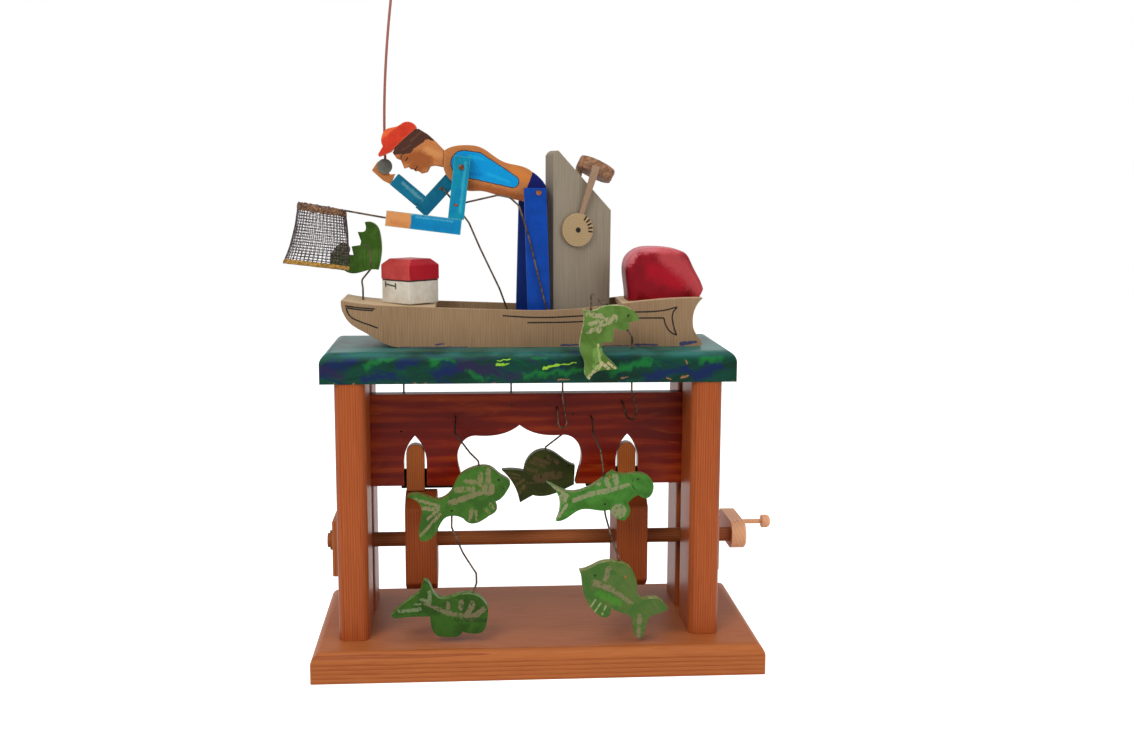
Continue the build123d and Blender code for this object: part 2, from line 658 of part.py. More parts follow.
def make_torso():
    torso = slab(torso_face(), torso_front, torso_back)
    torso -= rod_along("Y", hip_pin_diameter + 2 * running_clearance, torso_front - 1, torso_back + 1,
                       hip_x, hip_z)
    torso -= rod_along("Y", shoulder_pin_diameter + 2 * glue_clearance, torso_front - 1, torso_back + 1,
                       shoulder_x, shoulder_z)
    pieces["torso"] = torso
    pin = rod_along("Y", shoulder_pin_diameter, near_arm_front - side_gap, far_arm_back + side_gap,
                    shoulder_x, shoulder_z)
    head_front = near_arm_front - side_gap
    pin += rod_along("Y", pin_head_diameter, head_front - pin_head_height, head_front, shoulder_x, shoulder_z)
    pin += rod_along("Y", pin_head_diameter, far_arm_back + side_gap,
                     far_arm_back + side_gap + pin_head_height, shoulder_x, shoulder_z)
    pieces["shoulder_pin"] = pin


# The head in its own frame: u is where the face looks, v is towards the crown.
head_profile = [(13.0, 13.5), (15.0, 8.0), (14.2, 4.2), (18.2, -1.8), (15.0, -4.2), (15.6, -6.6),
                (14.4, -8.6), (14.8, -10.6), (13.0, -12.8), (13.2, -16.2), (9.5, -19.4), (1.0, -17.0),
                (-3.5, -13.5)]
neck_front = [(-3.5, -13.5), (-5.6, -30.0)]
neck_back = [(-17.5, -30.0), (-15.8, -11.0)]
head_back = [(-15.8, -11.0), (-16.6, -2.0), (-16.0, 7.0), (-9.0, 16.0), (2.0, 19.5), (10.0, 17.5),
             (13.0, 13.5)]


def head_plane():
    pitch = radians(head_pitch)
    centre = (hip_x - 103.4, figure_y, hip_z + 35.5)
    looks = (-cos(pitch), 0, -sin(pitch))
    return Plane(origin=centre, x_dir=looks, z_dir=(0, 1, 0))


def make_head():
    face = outline([head_profile, neck_front, [neck_front[-1], neck_back[0]], neck_back, head_back])
    head = extrude(head_plane() * face, head_thickness / 2, both=True)
    torso_block = slab(torso_face(), torso_front - 5.0, torso_back + 5.0)
    head -= torso_block
    behind = hip_x + neck_end[1][0]
    head -= block((behind, behind + 60.0), (-40.0, 40.0), (hip_z - 60.0, hip_z + 80.0))
    head = head.solids().sort_by(SortBy.VOLUME)[-1]
    brim = [(13.6, 15.2), (22.2, 20.8), (21.2, 22.6), (13.2, 23.2)]
    crown = [(13.2, 23.2), (6.4, 28.7), (-0.5, 28.4), (-7.5, 22.6), (-13.4, 19.9), (-16.9, 14.0),
             (-15.5, 8.6)]
    under = [(-15.5, 8.6), (-1.0, 12.4), (13.6, 15.2)]
    hat_face = outline([brim[:2], brim[1:3], brim[2:], crown, under])
    hat = extrude(head_plane() * hat_face, hat_thickness / 2, both=True)
    pieces["head"] = head - hat
    pieces["hat"] = hat


# ---- angler: arms, net and rod -----------------------------------------------------------------
def bar_face(start, end, width, extra_start=0.0, extra_end=0.0):
    """A straight strip in X and Z along the line from start to end."""
    a = Vector(*start)
    b = Vector(*end)
    along = (b - a).normalized()
    a -= along * extra_start
    b += along * extra_end
    angle = Vector(1, 0, 0).get_signed_angle(along, Vector(0, 0, 1))
    middle = (a + b) * 0.5
    return Pos(middle.X, middle.Y) * Rot(0, 0, angle) * Rectangle((b - a).length, width)


near_elbow = (shoulder_x - 4.9, shoulder_z - 42.8)
near_hand_end = (shoulder_x - 63.2, shoulder_z - 42.2)
grip_start = (near_hand_end[0] + hand_length, near_hand_end[1])


def make_near_arm():
    upper = bar_face((shoulder_x, shoulder_z), near_elbow, arm_width, extra_start=9.2)
    forearm = bar_face((shoulder_x - 0.6, shoulder_z - 49.8), near_hand_end, arm_width - 0.6)
    forearm_solid = slab(forearm, near_arm_front, near_arm_back)
    upper_solid = slab(upper, near_arm_front, near_arm_back) - forearm_solid
    upper_solid -= rod_along("Y", shoulder_pin_diameter + 2 * running_clearance, near_arm_front - 1,
                             near_arm_back + 1, shoulder_x, shoulder_z)
    pieces["near_upper_arm"] = upper_solid
    arm_y = (near_arm_front + near_arm_back) / 2
    hand = (near_hand_end[0] + hand_length / 2, near_hand_end[1] - 0.9)
    rim_right = (near_hand_end[0] - 34.2, near_hand_end[1] + 6.2)
    rim_left = (rim_right[0] - net_mouth, rim_right[1] + 6.4)
    handle = wire([(hand[0], arm_y, hand[1]), (near_hand_end[0] - 2.0, arm_y, near_hand_end[1] + 0.5),
                   (rim_right[0], arm_y, rim_right[1])], [4.0])
    pieces["near_forearm"] = forearm_solid - handle
    pieces["net_handle"] = handle
    make_net(rim_right, rim_left, arm_y)


def make_net(right, left, y):
    """A pouch that hangs from an oval rim and closes in a straight hem."""
    middle = ((right[0] + left[0]) / 2, (right[1] + left[1]) / 2)
    tilt = Vector(right[0] - left[0], 0, right[1] - left[1])
    rim_plane = Plane(origin=(middle[0], y, middle[1]), x_dir=tilt, z_dir=(-tilt.Z, 0, tilt.X))
    hem_plane = Plane(origin=(middle[0] - 6.0, y, middle[1] - net_drop), x_dir=(55.0, 0, -6.3),
                      z_dir=(6.3, 0, 55.0))
    mid_plane = Plane(origin=(middle[0] - 2.6, y, middle[1] - net_drop * 0.5), x_dir=(48.0, 0, -0.5),
                      z_dir=(0.5, 0, 48.0))
    outer = loft([rim_plane * Ellipse(net_mouth / 2, net_mouth_depth / 2),
                  mid_plane * Ellipse(net_mouth / 2 + 2.6, net_mouth_depth / 2 - 2.2),
                  hem_plane * Ellipse(net_bottom / 2, 1.6)])
    w = net_wall
    inner = loft([rim_plane.offset(0.5) * Ellipse(net_mouth / 2 - w, net_mouth_depth / 2 - w),
                  mid_plane * Ellipse(net_mouth / 2 + 2.6 - w, net_mouth_depth / 2 - 2.2 - w),
                  hem_plane.offset(4.0) * Ellipse(net_bottom / 2 - 3.0, 0.8)])
    bag = outer - inner
    path = rim_plane * Ellipse(net_mouth / 2, net_mouth_depth / 2).wire()
    start = Plane(origin=path @ 0, z_dir=path % 0) * Circle(net_rim_diameter / 2)
    rim = sweep(start, path)
    pieces["net_rim"] = rim - pieces["net_handle"]
    pieces["net_bag"] = bag - rim - pieces["net_handle"]


def make_far_arm():
    """A bent arm in two glued lengths, with the hand, the reel and the rod."""
    elbow = (shoulder_x - 30.6, shoulder_z - 33.0)
    wrist = (shoulder_x - 57.2, shoulder_z - 9.8)
    upper = slab(bar_face((shoulder_x, shoulder_z), elbow, arm_width - 1.2, 8.0, 6.5),
                 far_arm_front, far_arm_back)
    forearm = slab(bar_face((elbow[0] - 1.0, elbow[1] + 1.6), wrist, 11.8, 2.0), far_arm_front, far_arm_back)
    cut = slab(bar_face((shoulder_x, shoulder_z), elbow, arm_width - 1.2, 8.0, 30.0),
               far_arm_front - 1, far_arm_back + 1)
    forearm = (forearm - cut).solids().sort_by(SortBy.VOLUME)[-1]
    upper -= rod_along("Y", shoulder_pin_diameter + 2 * running_clearance, far_arm_front - 1,
                       far_arm_back + 1, shoulder_x, shoulder_z)
    pieces["far_upper_arm"] = upper
    pieces["far_forearm"] = forearm
    palm_front = far_arm_front + reel_thickness + 0.3
    palm_shape = [(-76.1, -2.7), (-70.9, 4.9), (-60.5, -6.0), (-56.4, -5.6), (-60.3, -14.3), (-66.5, -11.4)]
    palm = slab(make_face(Polyline(*shifted(palm_shape, shoulder_x, shoulder_z), close=True)),
                palm_front, far_arm_back)
    palm -= pieces["far_forearm"]
    palm = palm.solids().sort_by(SortBy.VOLUME)[-1]
    reel_at = (shoulder_x - 65.0, shoulder_z + 0.8)
    reel = rod_along("Y", reel_diameter, palm_front - reel_thickness, palm_front, *reel_at)
    reel -= pieces["far_forearm"]
    pieces["reel"] = fillet(reel.edges().sort_by(Axis.Y)[0], 0.6)
    rod_y = palm_front + 2.4
    foot = (shoulder_x - 64.2, shoulder_z - 6.0)
    path = Spline((foot[0], rod_y, foot[1]), (foot[0] - 0.6, rod_y, foot[1] + 54.0),
                  (foot[0] + 3.0, rod_y, foot[1] + 114.0), (foot[0] + 11.5, rod_y, foot[1] + 183.0))
    rod = sweep(Plane(origin=path @ 0, z_dir=path % 0) * Circle(rod_diameter / 2), path)
    pieces["far_hand"] = palm - rod
    pieces["fishing_rod"] = rod


# ---- fish --------------------------------------------------------------------------------------
# Outlines from the hook that carries each fish, in runs that end at its corners.
hanging_fish_y = -50.0
post_to_fish = 0.6          # the lower left fish sways in front of the posts
low_fish_y = post_front - post_to_fish - fish_thickness / 2
front_fish_y = -74.0
back_fish_y = 25.0
jump_fish_y = -69.0
net_fish_y = boat_mid_y + 4.8


def fish(runs, x, z, y):
    return slab(chained(runs, x, z), y - fish_thickness / 2, y + fish_thickness / 2)


fish_1_runs = [[(-59.5, -24.6), (-47.9, -23.1), (-33.9, -27.5), (-23.0, -20.8), (-16.3, -8.1), (-6.3, -1.5),
                (3.7, 0.5), (10.4, -0.8), (17.8, -6.9), (26.2, -13.8), (23.6, -20.6), (18.6, -27.0),
                (12.7, -29.9)],
               [(15.2, -34.2), (8.5, -41.8)], [(2.2, -46.0), (-4.9, -48.2), (-12.7, -44.1)],
               [(-19.9, -41.4), (-27.4, -42.7), (-33.3, -50.7), (-43.4, -62.3)],
               [(-48.8, -61.6), (-50.0, -56.0), (-47.3, -38.4), (-59.5, -24.6)]]
fish_2_runs = [[(-39.2, -17.6), (-30.0, -17.2), (-19.6, -18.6)], [(-17.8, -10.9), (-8.0, -1.0), (0.0, 0.2),
               (9.0, -3.5), (17.0, -9.5), (26.0, -14.2)], [(25.2, -31.5)],
               [(14.0, -37.0), (2.8, -41.0), (-11.6, -40.8)], [(-23.2, -47.4)],
               [(-27.7, -32.7), (-39.2, -17.6)]]
fish_3_runs = [[(-47.9, -2.5), (-39.0, -7.0), (-30.7, -10.5), (-18.9, -9.8), (-0.4, 0.7), (7.6, 6.7)],
               [(15.6, 3.5), (30.8, 4.2), (40.2, -1.1), (42.0, -8.9), (38.7, -15.7), (29.3, -13.9)],
               [(24.0, -17.2), (20.4, -21.0)], [(22.3, -28.5), (17.6, -35.8)], [(9.5, -33.0), (4.8, -26.5)],
               [(2.3, -27.0), (-19.7, -26.1), (-34.8, -35.0), (-39.9, -35.7)],
               [(-37.6, -30.0), (-36.6, -21.6), (-47.9, -2.5)]]
fish_4_runs = [[(-67.3, -15.2), (-57.0, -6.0), (-43.8, 3.4)], [(-40.3, 14.5)],
               [(-35.8, 11.0), (-33.4, 5.3), (-27.2, -1.7), (-18.4, -1.0), (-6.7, 1.8), (0.8, 1.2), (7.5, -2.8),
                (12.5, -12.5), (11.6, -21.2), (8.2, -30.4), (0.6, -32.3), (-8.6, -30.0)],
               [(-12.0, -33.8), (-22.1, -34.5), (-29.6, -33.4), (-34.1, -26.4), (-35.3, -16.8)],
               [(-54.4, -16.9), (-65.3, -17.9)]]
fish_5_runs = [[(-33.5, -4.0), (-24.1, -1.4), (-15.8, 2.5), (-9.5, 3.5), (0.1, 2.5), (8.5, -1.9), (12.4, -8.3),
                (14.5, -17.0), (15.5, -25.6), (18.9, -29.1)],
               [(24.8, -28.8), (31.5, -29.0), (38.3, -34.4), (40.5, -37.9)],
               [(32.5, -41.6), (25.0, -44.9), (21.7, -55.3), (18.0, -62.6)], [(14.2, -61.6), (11.6, -51.6),
               (8.9, -43.7), (1.3, -40.1), (-7.1, -35.2)], [(-10.4, -43.8), (-15.9, -43.2)],
               [(-22.2, -37.8), (-27.3, -30.0), (-30.1, -22.6), (-31.8, -9.2), (-33.5, -4.0)]]
jump_fish_runs = [[(-38.7, 15.8)], [(-33.4, 14.1), (-27.7, 15.4), (-22.0, 17.8), (-14.6, 18.6), (-4.9, 17.7),
                  (2.5, 14.0), (6.1, 9.6), (6.4, 6.3)], [(-2.0, 5.5)], [(-3.6, -1.0), (-6.0, -1.4), (-13.9, 1.5)],
                  [(-14.9, -10.7)], [(-23.5, -11.1)], [(-23.8, -14.7), (-20.0, -22.5), (-13.9, -28.3),
                  (-10.1, -32.7)], [(-18.0, -33.6), (-25.3, -34.4), (-33.4, -41.7)],
                  [(-36.7, -38.4), (-37.1, -28.6), (-40.1, -20.4), (-41.2, -11.4), (-39.0, 0.0), (-37.8, 8.1),
                   (-38.7, 15.8)]]
net_fish_runs = [[(-31.6, -18.6), (-28.0, -2.5), (-21.0, 2.6)], [(-15.5, -2.6), (-16.9, -8.0)],
                 [(-12.0, -8.4)], [(-13.6, -0.9)], [(-6.4, 0.1)], [(-5.5, 3.6)], [(-8.2, 11.4)],
                 [(-2.2, 12.4), (-2.2, 19.6)], [(2.8, 19.8), (8.2, 16.2), (10.6, 9.6), (11.6, -4.2), (8.6, -20.6)],
                 [(-1.2, -21.2), (-11.2, -23.6), (-19.9, -21.2)]]


def make_hanging_fish():
    """Five fish on hooks of bent wire: three from the rail, and two from the fish above them."""
    def hole(name):
        x, up = rail_holes[name]
        return x, rail_bottom + up

    bore = wire_diameter + 2 * hook_clearance
    # fish 1 and its wire
    x, z = hole("fish_1")
    hook_1 = (x + 19.0, z - 33.0)
    wire_1 = wire([(x, rail_back - 1.0, z), (x, rail_front - 9.0, z), (x - 0.6, -25.0, z - 10.0),
                   (x + 12.0, -42.0, z - 23.5), (hook_1[0], hanging_fish_y, hook_1[1] + 4.0),
                   (hook_1[0] + 0.3, hanging_fish_y, hook_1[1] - peg_in_fish)], [5.0, 5.0, 6.0, 2.0])
    body_1 = fish(fish_1_runs, *hook_1, hanging_fish_y) - wire_1
    low_1 = (hook_1[0] - 22.5, hook_1[1] - 37.0)
    body_1 -= rod_along("Y", bore, hanging_fish_y - 10, hanging_fish_y + 10, *low_1)
    pieces["fish_1"] = body_1
    pieces["fish_1_wire"] = wire_1
    # fish 4, below fish 1
    back = hanging_fish_y + fish_thickness / 2
    hook_4 = (low_1[0] + 17.0, base_top + hook_4_height)
    drop = low_1[1] - hook_4[1]
    wire_4 = wire([(low_1[0], hanging_fish_y - fish_thickness / 2 + 1.0, low_1[1]),
                   (low_1[0], back + 3.0, low_1[1]), (low_1[0] - 0.4, back + 1.0, low_1[1] - 0.24 * drop),
                   (low_1[0] + 9.0, -47.0, low_1[1] - 0.56 * drop),
                   (low_1[0] + 20.0, -56.0, low_1[1] - 0.78 * drop),
                   (low_1[0] + 20.2, -61.0, low_1[1] - 0.88 * drop), (hook_4[0], low_fish_y, hook_4[1] + 1.5),
                   (hook_4[0] - 0.5, low_fish_y, hook_4[1] - peg_in_fish)], [2.4, 5.0, 12.0, 3.0, 2.5, 2.0])
    pieces["fish_4"] = fish(fish_4_runs, hook_4[0], hook_4[1], low_fish_y) - wire_4
    pieces["fish_4_wire"] = wire_4
    # fish 3
    x, z = hole("fish_3")
    hook_3 = (x + 6.0, z - 43.5)
    wire_3 = wire([(x, rail_back - 1.0, z), (x, rail_front - 9.0, z), (x - 0.8, -26.0, z - 9.0),
                   (x + 4.5, -42.0, z - 22.0), (hook_3[0], hanging_fish_y, hook_3[1] + 6.0),
                   (hook_3[0] + 0.3, hanging_fish_y, hook_3[1] - peg_in_fish)], [5.0, 5.0, 6.0, 2.0])
    body_3 = fish(fish_3_runs, *hook_3, hanging_fish_y) - wire_3
    low_3 = (hook_3[0] + 1.0, hook_3[1] - 21.5)
    body_3 -= rod_along("Y", bore, hanging_fish_y - 10, hanging_fish_y + 10, *low_3)
    pieces["fish_3"] = body_3
    pieces["fish_3_wire"] = wire_3
    # fish 5, below fish 3
    hook_5 = (low_3[0] + 10.5, base_top + hook_5_height)
    drop = low_3[1] - hook_5[1]
    wire_5 = wire([(low_3[0], hanging_fish_y - fish_thickness / 2 + 1.0, low_3[1]),
                   (low_3[0], back + 3.0, low_3[1]), (low_3[0] + 1.5, back + 0.5, low_3[1] - 0.26 * drop),
                   (low_3[0] + 6.0, -62.0, low_3[1] - 0.645 * drop),
                   (hook_5[0] - 0.6, front_fish_y, hook_5[1] + 6.0),
                   (hook_5[0], front_fish_y, hook_5[1] - peg_in_fish)], [2.4, 5.0, 6.0, 2.0])
    pieces["fish_5"] = fish(fish_5_runs, hook_5[0], hook_5[1], front_fish_y) - wire_5
    pieces["fish_5_wire"] = wire_5
    # fish 2, behind the rail
    x, z = hole("fish_2")
    hook_2 = (x - 22.5, z - 36.0)
    wire_2 = wire([(x, rail_front + 1.0, z), (x, rail_back + 5.0, z), (x - 2.0, rail_back + 7.5, z - 17.0),
                   (hook_2[0], back_fish_y, hook_2[1] + 2.0),
                   (hook_2[0] - 0.5, back_fish_y, hook_2[1] - peg_in_fish)], [2.6, 5.0, 2.0])
    pieces["fish_2"] = fish(fish_2_runs, hook_2[0], hook_2[1], back_fish_y) - wire_2
    pieces["fish_2_wire"] = wire_2


def make_wire_fish():
    """The fish at the net and the jumping fish, each carried by a lift wire."""
    top = (bow_hole_x + 5.0, wave_top + 84.0)
    body = fish(net_fish_runs, top[0], top[1] - 0.4, net_fish_y)
    pieces["net_fish"] = body - pieces["net_fish_wire"]
    at = (jump_wire_at[0] - 5.0, wave_top + 20.5)
    jump = fish(jump_fish_runs, at[0], at[1], jump_fish_y)
    pieces["jump_fish"] = jump - pieces["jump_fish_wire"]
    top = (at[0] - 31.6, at[1] + 13.5)
    hook = wire([(top[0] - 0.6, jump_fish_y, top[1] - 4.0), (top[0] - 0.4, jump_fish_y, top[1] + 19.5),
                 (top[0] + 2.4, jump_fish_y, top[1] + 13.0), (top[0] + 8.0, jump_fish_y, top[1] + 7.0),
                 (top[0] + 13.5, jump_fish_y, top[1] + 6.0)], [1.4, 6.0, 6.0])
    pieces["jump_fish"] -= hook
    pieces["jump_fish_wire"] = Compound([pieces["jump_fish_wire"], hook])


make_stand()
make_bearings()
make_crank()
make_rail()
make_lift_wires()
make_boat()
make_load()
make_console()
make_helm()
make_legs()
make_torso()
make_head()
make_near_arm()
make_far_arm()
make_hanging_fish()
make_wire_fish()

os.makedirs("parts", exist_ok=True)
for name, solid in pieces.items():
    export_step(solid, f"parts/{name}.step")
    print(f"{name:20s} solids {len(solid.solids())} volume {solid.volume:10.1f}")
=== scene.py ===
"""The dressed wooden crank automaton: an angler in a boat, on a stand with cams and a lift rail."""
import json
import random
from math import cos, pi, radians, sin

import bmesh
import bpy
from mathutils import Matrix, Vector
from mathutils import noise as mathnoise

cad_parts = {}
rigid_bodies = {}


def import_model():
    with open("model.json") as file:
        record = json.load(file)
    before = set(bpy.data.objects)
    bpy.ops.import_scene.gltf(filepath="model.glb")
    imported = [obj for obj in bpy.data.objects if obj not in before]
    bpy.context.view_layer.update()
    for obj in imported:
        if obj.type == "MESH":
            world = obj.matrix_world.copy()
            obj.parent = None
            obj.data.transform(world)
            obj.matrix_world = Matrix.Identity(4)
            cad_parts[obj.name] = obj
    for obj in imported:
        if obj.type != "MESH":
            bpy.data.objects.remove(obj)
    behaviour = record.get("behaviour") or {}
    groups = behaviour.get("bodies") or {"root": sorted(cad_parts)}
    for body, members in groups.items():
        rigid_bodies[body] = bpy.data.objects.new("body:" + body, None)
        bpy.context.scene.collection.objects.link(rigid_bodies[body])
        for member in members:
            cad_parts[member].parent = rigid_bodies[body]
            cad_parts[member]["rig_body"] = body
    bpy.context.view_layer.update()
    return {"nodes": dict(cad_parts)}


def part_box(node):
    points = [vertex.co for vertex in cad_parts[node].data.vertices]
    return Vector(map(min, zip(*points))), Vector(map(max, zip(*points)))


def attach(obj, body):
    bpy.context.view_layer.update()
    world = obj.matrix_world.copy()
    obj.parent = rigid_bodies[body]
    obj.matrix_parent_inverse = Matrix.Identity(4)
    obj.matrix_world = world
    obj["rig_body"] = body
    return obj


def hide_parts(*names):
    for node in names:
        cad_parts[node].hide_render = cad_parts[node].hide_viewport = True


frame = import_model()
MM = 0.001

# ---- Base board ---------------------------------------------------------------------------------
# A planed softwood board, reddish and oiled, with its long grain across the front. Its upper edges
# are rounded over. The tools that every later wooden piece needs are made here with it.


def tone(code):
    """A colour written as it looks, such as "b5673d", as linear light."""
    parts = [int(code[n:n + 2], 16) / 255 for n in (0, 2, 4)]
    return [p / 12.92 if p <= 0.04045 else ((p + 0.055) / 1.055) ** 2.4 for p in parts] + [1.0]


def add(tree, kind, inputs=None, **settings):
    """A shader node with its settings, and its inputs either linked or set."""
    node = tree.nodes.new("ShaderNode" + kind)
    for key, value in settings.items():
        setattr(node, key, value)
    for key, value in (inputs or {}).items():
        if isinstance(value, bpy.types.NodeSocket):
            tree.links.new(value, node.inputs[key])
        else:
            node.inputs[key].default_value = value
    return node


def mixed(tree, share, a, b, mode="MIX"):
    """Colour a where share is 0, and colour b where it is 1."""
    inputs = {0: share, 6: a, 7: b}
    return add(tree, "Mix", inputs, data_type="RGBA", blend_type=mode, clamp_result=True).outputs[2]


def maths(tree, operation, a, b=0.0, clamp=False):
    return add(tree, "Math", {0: a, 1: b}, operation=operation, use_clamp=clamp).outputs[0]


def times(tree, a, b):
    return maths(tree, "MULTIPLY", a, b)


def tinted(tree, colour, mask, strength, shade):
    """A colour with another laid over it, as strongly as the mask and the strength say."""
    return mixed(tree, times(tree, mask, strength), colour, tone(shade))


def band(tree, value, low, high):
    """0 below low and 1 above high, with a smooth step between them."""
    node = add(tree, "MapRange", {"Value": value, "From Min": low, "From Max": high},
               interpolation_type="SMOOTHSTEP")
    return node.outputs["Result"]


def placed(tree, turn=(0, 0, 0), move=(0, 0, 0)):
    """The piece's own coordinates in metres, turned so that its grain or brushing runs along Z."""
    inputs = {"Vector": add(tree, "TexCoord").outputs["Object"], "Location": move,
              "Rotation": tuple(radians(angle) for angle in turn)}
    return add(tree, "Mapping", inputs).outputs[0]


def noise(tree, vector, scale, detail=3.0, rough=0.55, warp=0.0):
    inputs = {"Vector": vector, "Scale": scale, "Detail": detail, "Roughness": rough, "Distortion": warp}
    return add(tree, "TexNoise", inputs).outputs[0]


def stretched(tree, vector, by):
    return add(tree, "VectorMath", {0: vector, 1: by}, operation="MULTIPLY").outputs[0]


def subtracted(tree, a, b):
    return add(tree, "VectorMath", {0: a, 1: b}, operation="SUBTRACT").outputs[0]


def dotted(tree, a, b):
    return add(tree, "VectorMath", {0: a, 1: b}, operation="DOT_PRODUCT").outputs["Value"]


def group(name, inputs, outputs):
    """An empty node group with named sockets, and its first and last nodes."""
    tree = bpy.data.node_groups.new(name, "ShaderNodeTree")
    for label, kind in inputs:
        tree.interface.new_socket(name=label, in_out="INPUT", socket_type="NodeSocket" + kind)
    for label, kind in outputs:
        tree.interface.new_socket(name=label, in_out="OUTPUT", socket_type="NodeSocket" + kind)
    return tree, tree.nodes.new("NodeGroupInput").outputs, tree.nodes.new("NodeGroupOutput").inputs


unit_pitch = 0.314  # the gap between the rings of a Wave texture whose scale is 1


def timber_group():
    """Sawn wood: growth rings about Z, long fibres along Z, and slow changes of tone."""
    tree, given, result = group(
        "Timber", [("Vector", "Vector"), ("Ring Gap", "Float"), ("Wobble", "Float"), ("Fleck", "Float"),
                   ("Early", "Color"), ("Late", "Color")], [("Color", "Color"), ("Height", "Float")])
    long_grain = stretched(tree, given["Vector"], (1.0, 1.0, 0.09))
    scale = maths(tree, "DIVIDE", unit_pitch, given["Ring Gap"])
    rings = add(tree, "TexWave", {"Vector": long_grain, "Scale": scale, "Distortion": given["Wobble"],
                                  "Detail": 3.0, "Detail Scale": 0.35, "Detail Roughness": 0.55},
                wave_type="RINGS", rings_direction="Z", wave_profile="SAW").outputs["Fac"]
    late = maths(tree, "POWER", rings, 2.2)
    fibre = noise(tree, stretched(tree, given["Vector"], (1500.0, 1500.0, 38.0)), 1.0, 2.0)
    slow = noise(tree, stretched(tree, given["Vector"], (26.0, 26.0, 6.0)), 1.0, 2.0)
    fibre_part = times(tree, maths(tree, "SUBTRACT", fibre, 0.5), given["Fleck"])
    slow_part = times(tree, maths(tree, "SUBTRACT", slow, 0.5), 0.7)
    share = maths(tree, "ADD", times(tree, late, 0.75), maths(tree, "ADD", fibre_part, slow_part))
    share = maths(tree, "ADD", share, 0.12, clamp=True)
    tree.links.new(mixed(tree, share, given["Early"], given["Late"]), result["Color"])
    relief = maths(tree, "SUBTRACT", times(tree, fibre, 0.6), times(tree, late, 0.4))
    tree.links.new(relief, result["Height"])
    return tree


def rubbed_group():
    """A mask of the edges that hands and handling have worn, broken up by noise."""
    tree, given, result = group("Rubbed Edge", [("Vector", "Vector"), ("Size", "Float")], [("Mask", "Float")])
    soft = add(tree, "Bevel", {"Radius": given["Size"]}, samples=6).outputs[0]
    hard = add(tree, "NewGeometry").outputs["Normal"]
    patches = noise(tree, given["Vector"], 420.0, 4.0, 0.65)
    edge = maths(tree, "SUBTRACT", 1.0, dotted(tree, soft, hard))
    worn = times(tree, edge, times(tree, patches, 2.4))
    tree.links.new(band(tree, worn, 0.03, 0.16), result["Mask"])
    return tree


def stroke_group():
    """One brush stroke on a front or back face: 1 inside it and 0 outside, from end to end."""
    tree, given, result = group(
        "Brush Stroke", [("Place", "Vector"), ("From", "Vector"), ("To", "Vector"), ("Width From", "Float"),
                         ("Width To", "Float"), ("Soft", "Float")], [("Mask", "Float")])
    run = subtracted(tree, given["To"], given["From"])
    offset = subtracted(tree, given["Place"], given["From"])
    share = maths(tree, "DIVIDE", dotted(tree, offset, run), dotted(tree, run, run), clamp=True)
    nearest = add(tree, "VectorMath", {0: run, "Scale": share}, operation="SCALE").outputs[0]
    away = subtracted(tree, offset, nearest)
    gap = add(tree, "VectorMath", {0: away}, operation="LENGTH").outputs["Value"]
    growth = times(tree, maths(tree, "SUBTRACT", given["Width To"], given["Width From"]), share)
    half = times(tree, maths(tree, "ADD", given["Width From"], growth), 0.5)
    inner = maths(tree, "SUBTRACT", half, given["Soft"])
    outer = maths(tree, "ADD", half, given["Soft"])
    tree.links.new(maths(tree, "SUBTRACT", 1.0, band(tree, gap, inner, outer)), result["Mask"])
    return tree


timber = timber_group()
rubbed = rubbed_group()
stroke = stroke_group()


def timber_colour(tree, vector, gap, wobble, fleck, early, late):
    inputs = {"Vector": vector, "Ring Gap": gap, "Wobble": wobble, "Fleck": fleck, "Early": tone(early),
              "Late": tone(late)}
    node = add(tree, "Group", inputs, node_tree=timber)
    return node.outputs["Color"], node.outputs["Height"]


def rubbed_edge(tree, size):
    inputs = {"Vector": add(tree, "TexCoord").outputs["Object"], "Size": size}
    return add(tree, "Group", inputs, node_tree=rubbed).outputs["Mask"]


def brush_place(tree, ragged=0.5, grain=480.0):
    """The place on the front or back face, shifted a little by noise so that strokes get ragged edges."""
    vector = placed(tree)
    flat = stretched(tree, vector, (1.0, 0.0, 1.0))
    shake = add(tree, "TexNoise", {"Vector": vector, "Scale": grain, "Detail": 3.0}).outputs["Color"]
    furthest = ragged * 4 * MM
    shift = stretched(tree, subtracted(tree, shake, (0.5, 0.5, 0.5)), (furthest, 0.0, furthest))
    return add(tree, "VectorMath", {0: flat, 1: shift}, operation="ADD").outputs[0]


shortest = 0.001  # in millimetres: it keeps a stroke that ends where it starts from having no length


def brushed(tree, place, strokes, grow=0.0, soft=0.25):
    """A mask of strokes, each from (x, z) to (x, z) with a width at either end, in millimetres."""
    mask = 0.0
    for x0, z0, x1, z1, w0, w1 in strokes:
        inputs = {"Place": place, "From": (x0 * MM, 0.0, z0 * MM), "To": (x1 * MM, 0.0, (z1 + shortest) * MM),
                  "Width From": (w0 + grow) * MM, "Width To": (w1 + grow) * MM, "Soft": soft * MM}
        mask = maths(tree, "MAXIMUM", add(tree, "Group", inputs, node_tree=stroke).outputs[0], mask)
    return mask


def bristled(tree, vector, colour, share=0.3):
    """Fine brush marks over a paint, along the vector's Z."""
    marks = noise(tree, stretched(tree, vector, (1300.0, 1300.0, 60.0)), 1.0, 2.0)
    pale = mixed(tree, marks, tone("303030"), tone("cfcfcf"))
    return mixed(tree, share, colour, pale, "SOFT_LIGHT"), marks


def new_material(name):
    material = bpy.data.materials.new(name)
    material.use_nodes = True
    material.node_tree.nodes.clear()
    return material, material.node_tree


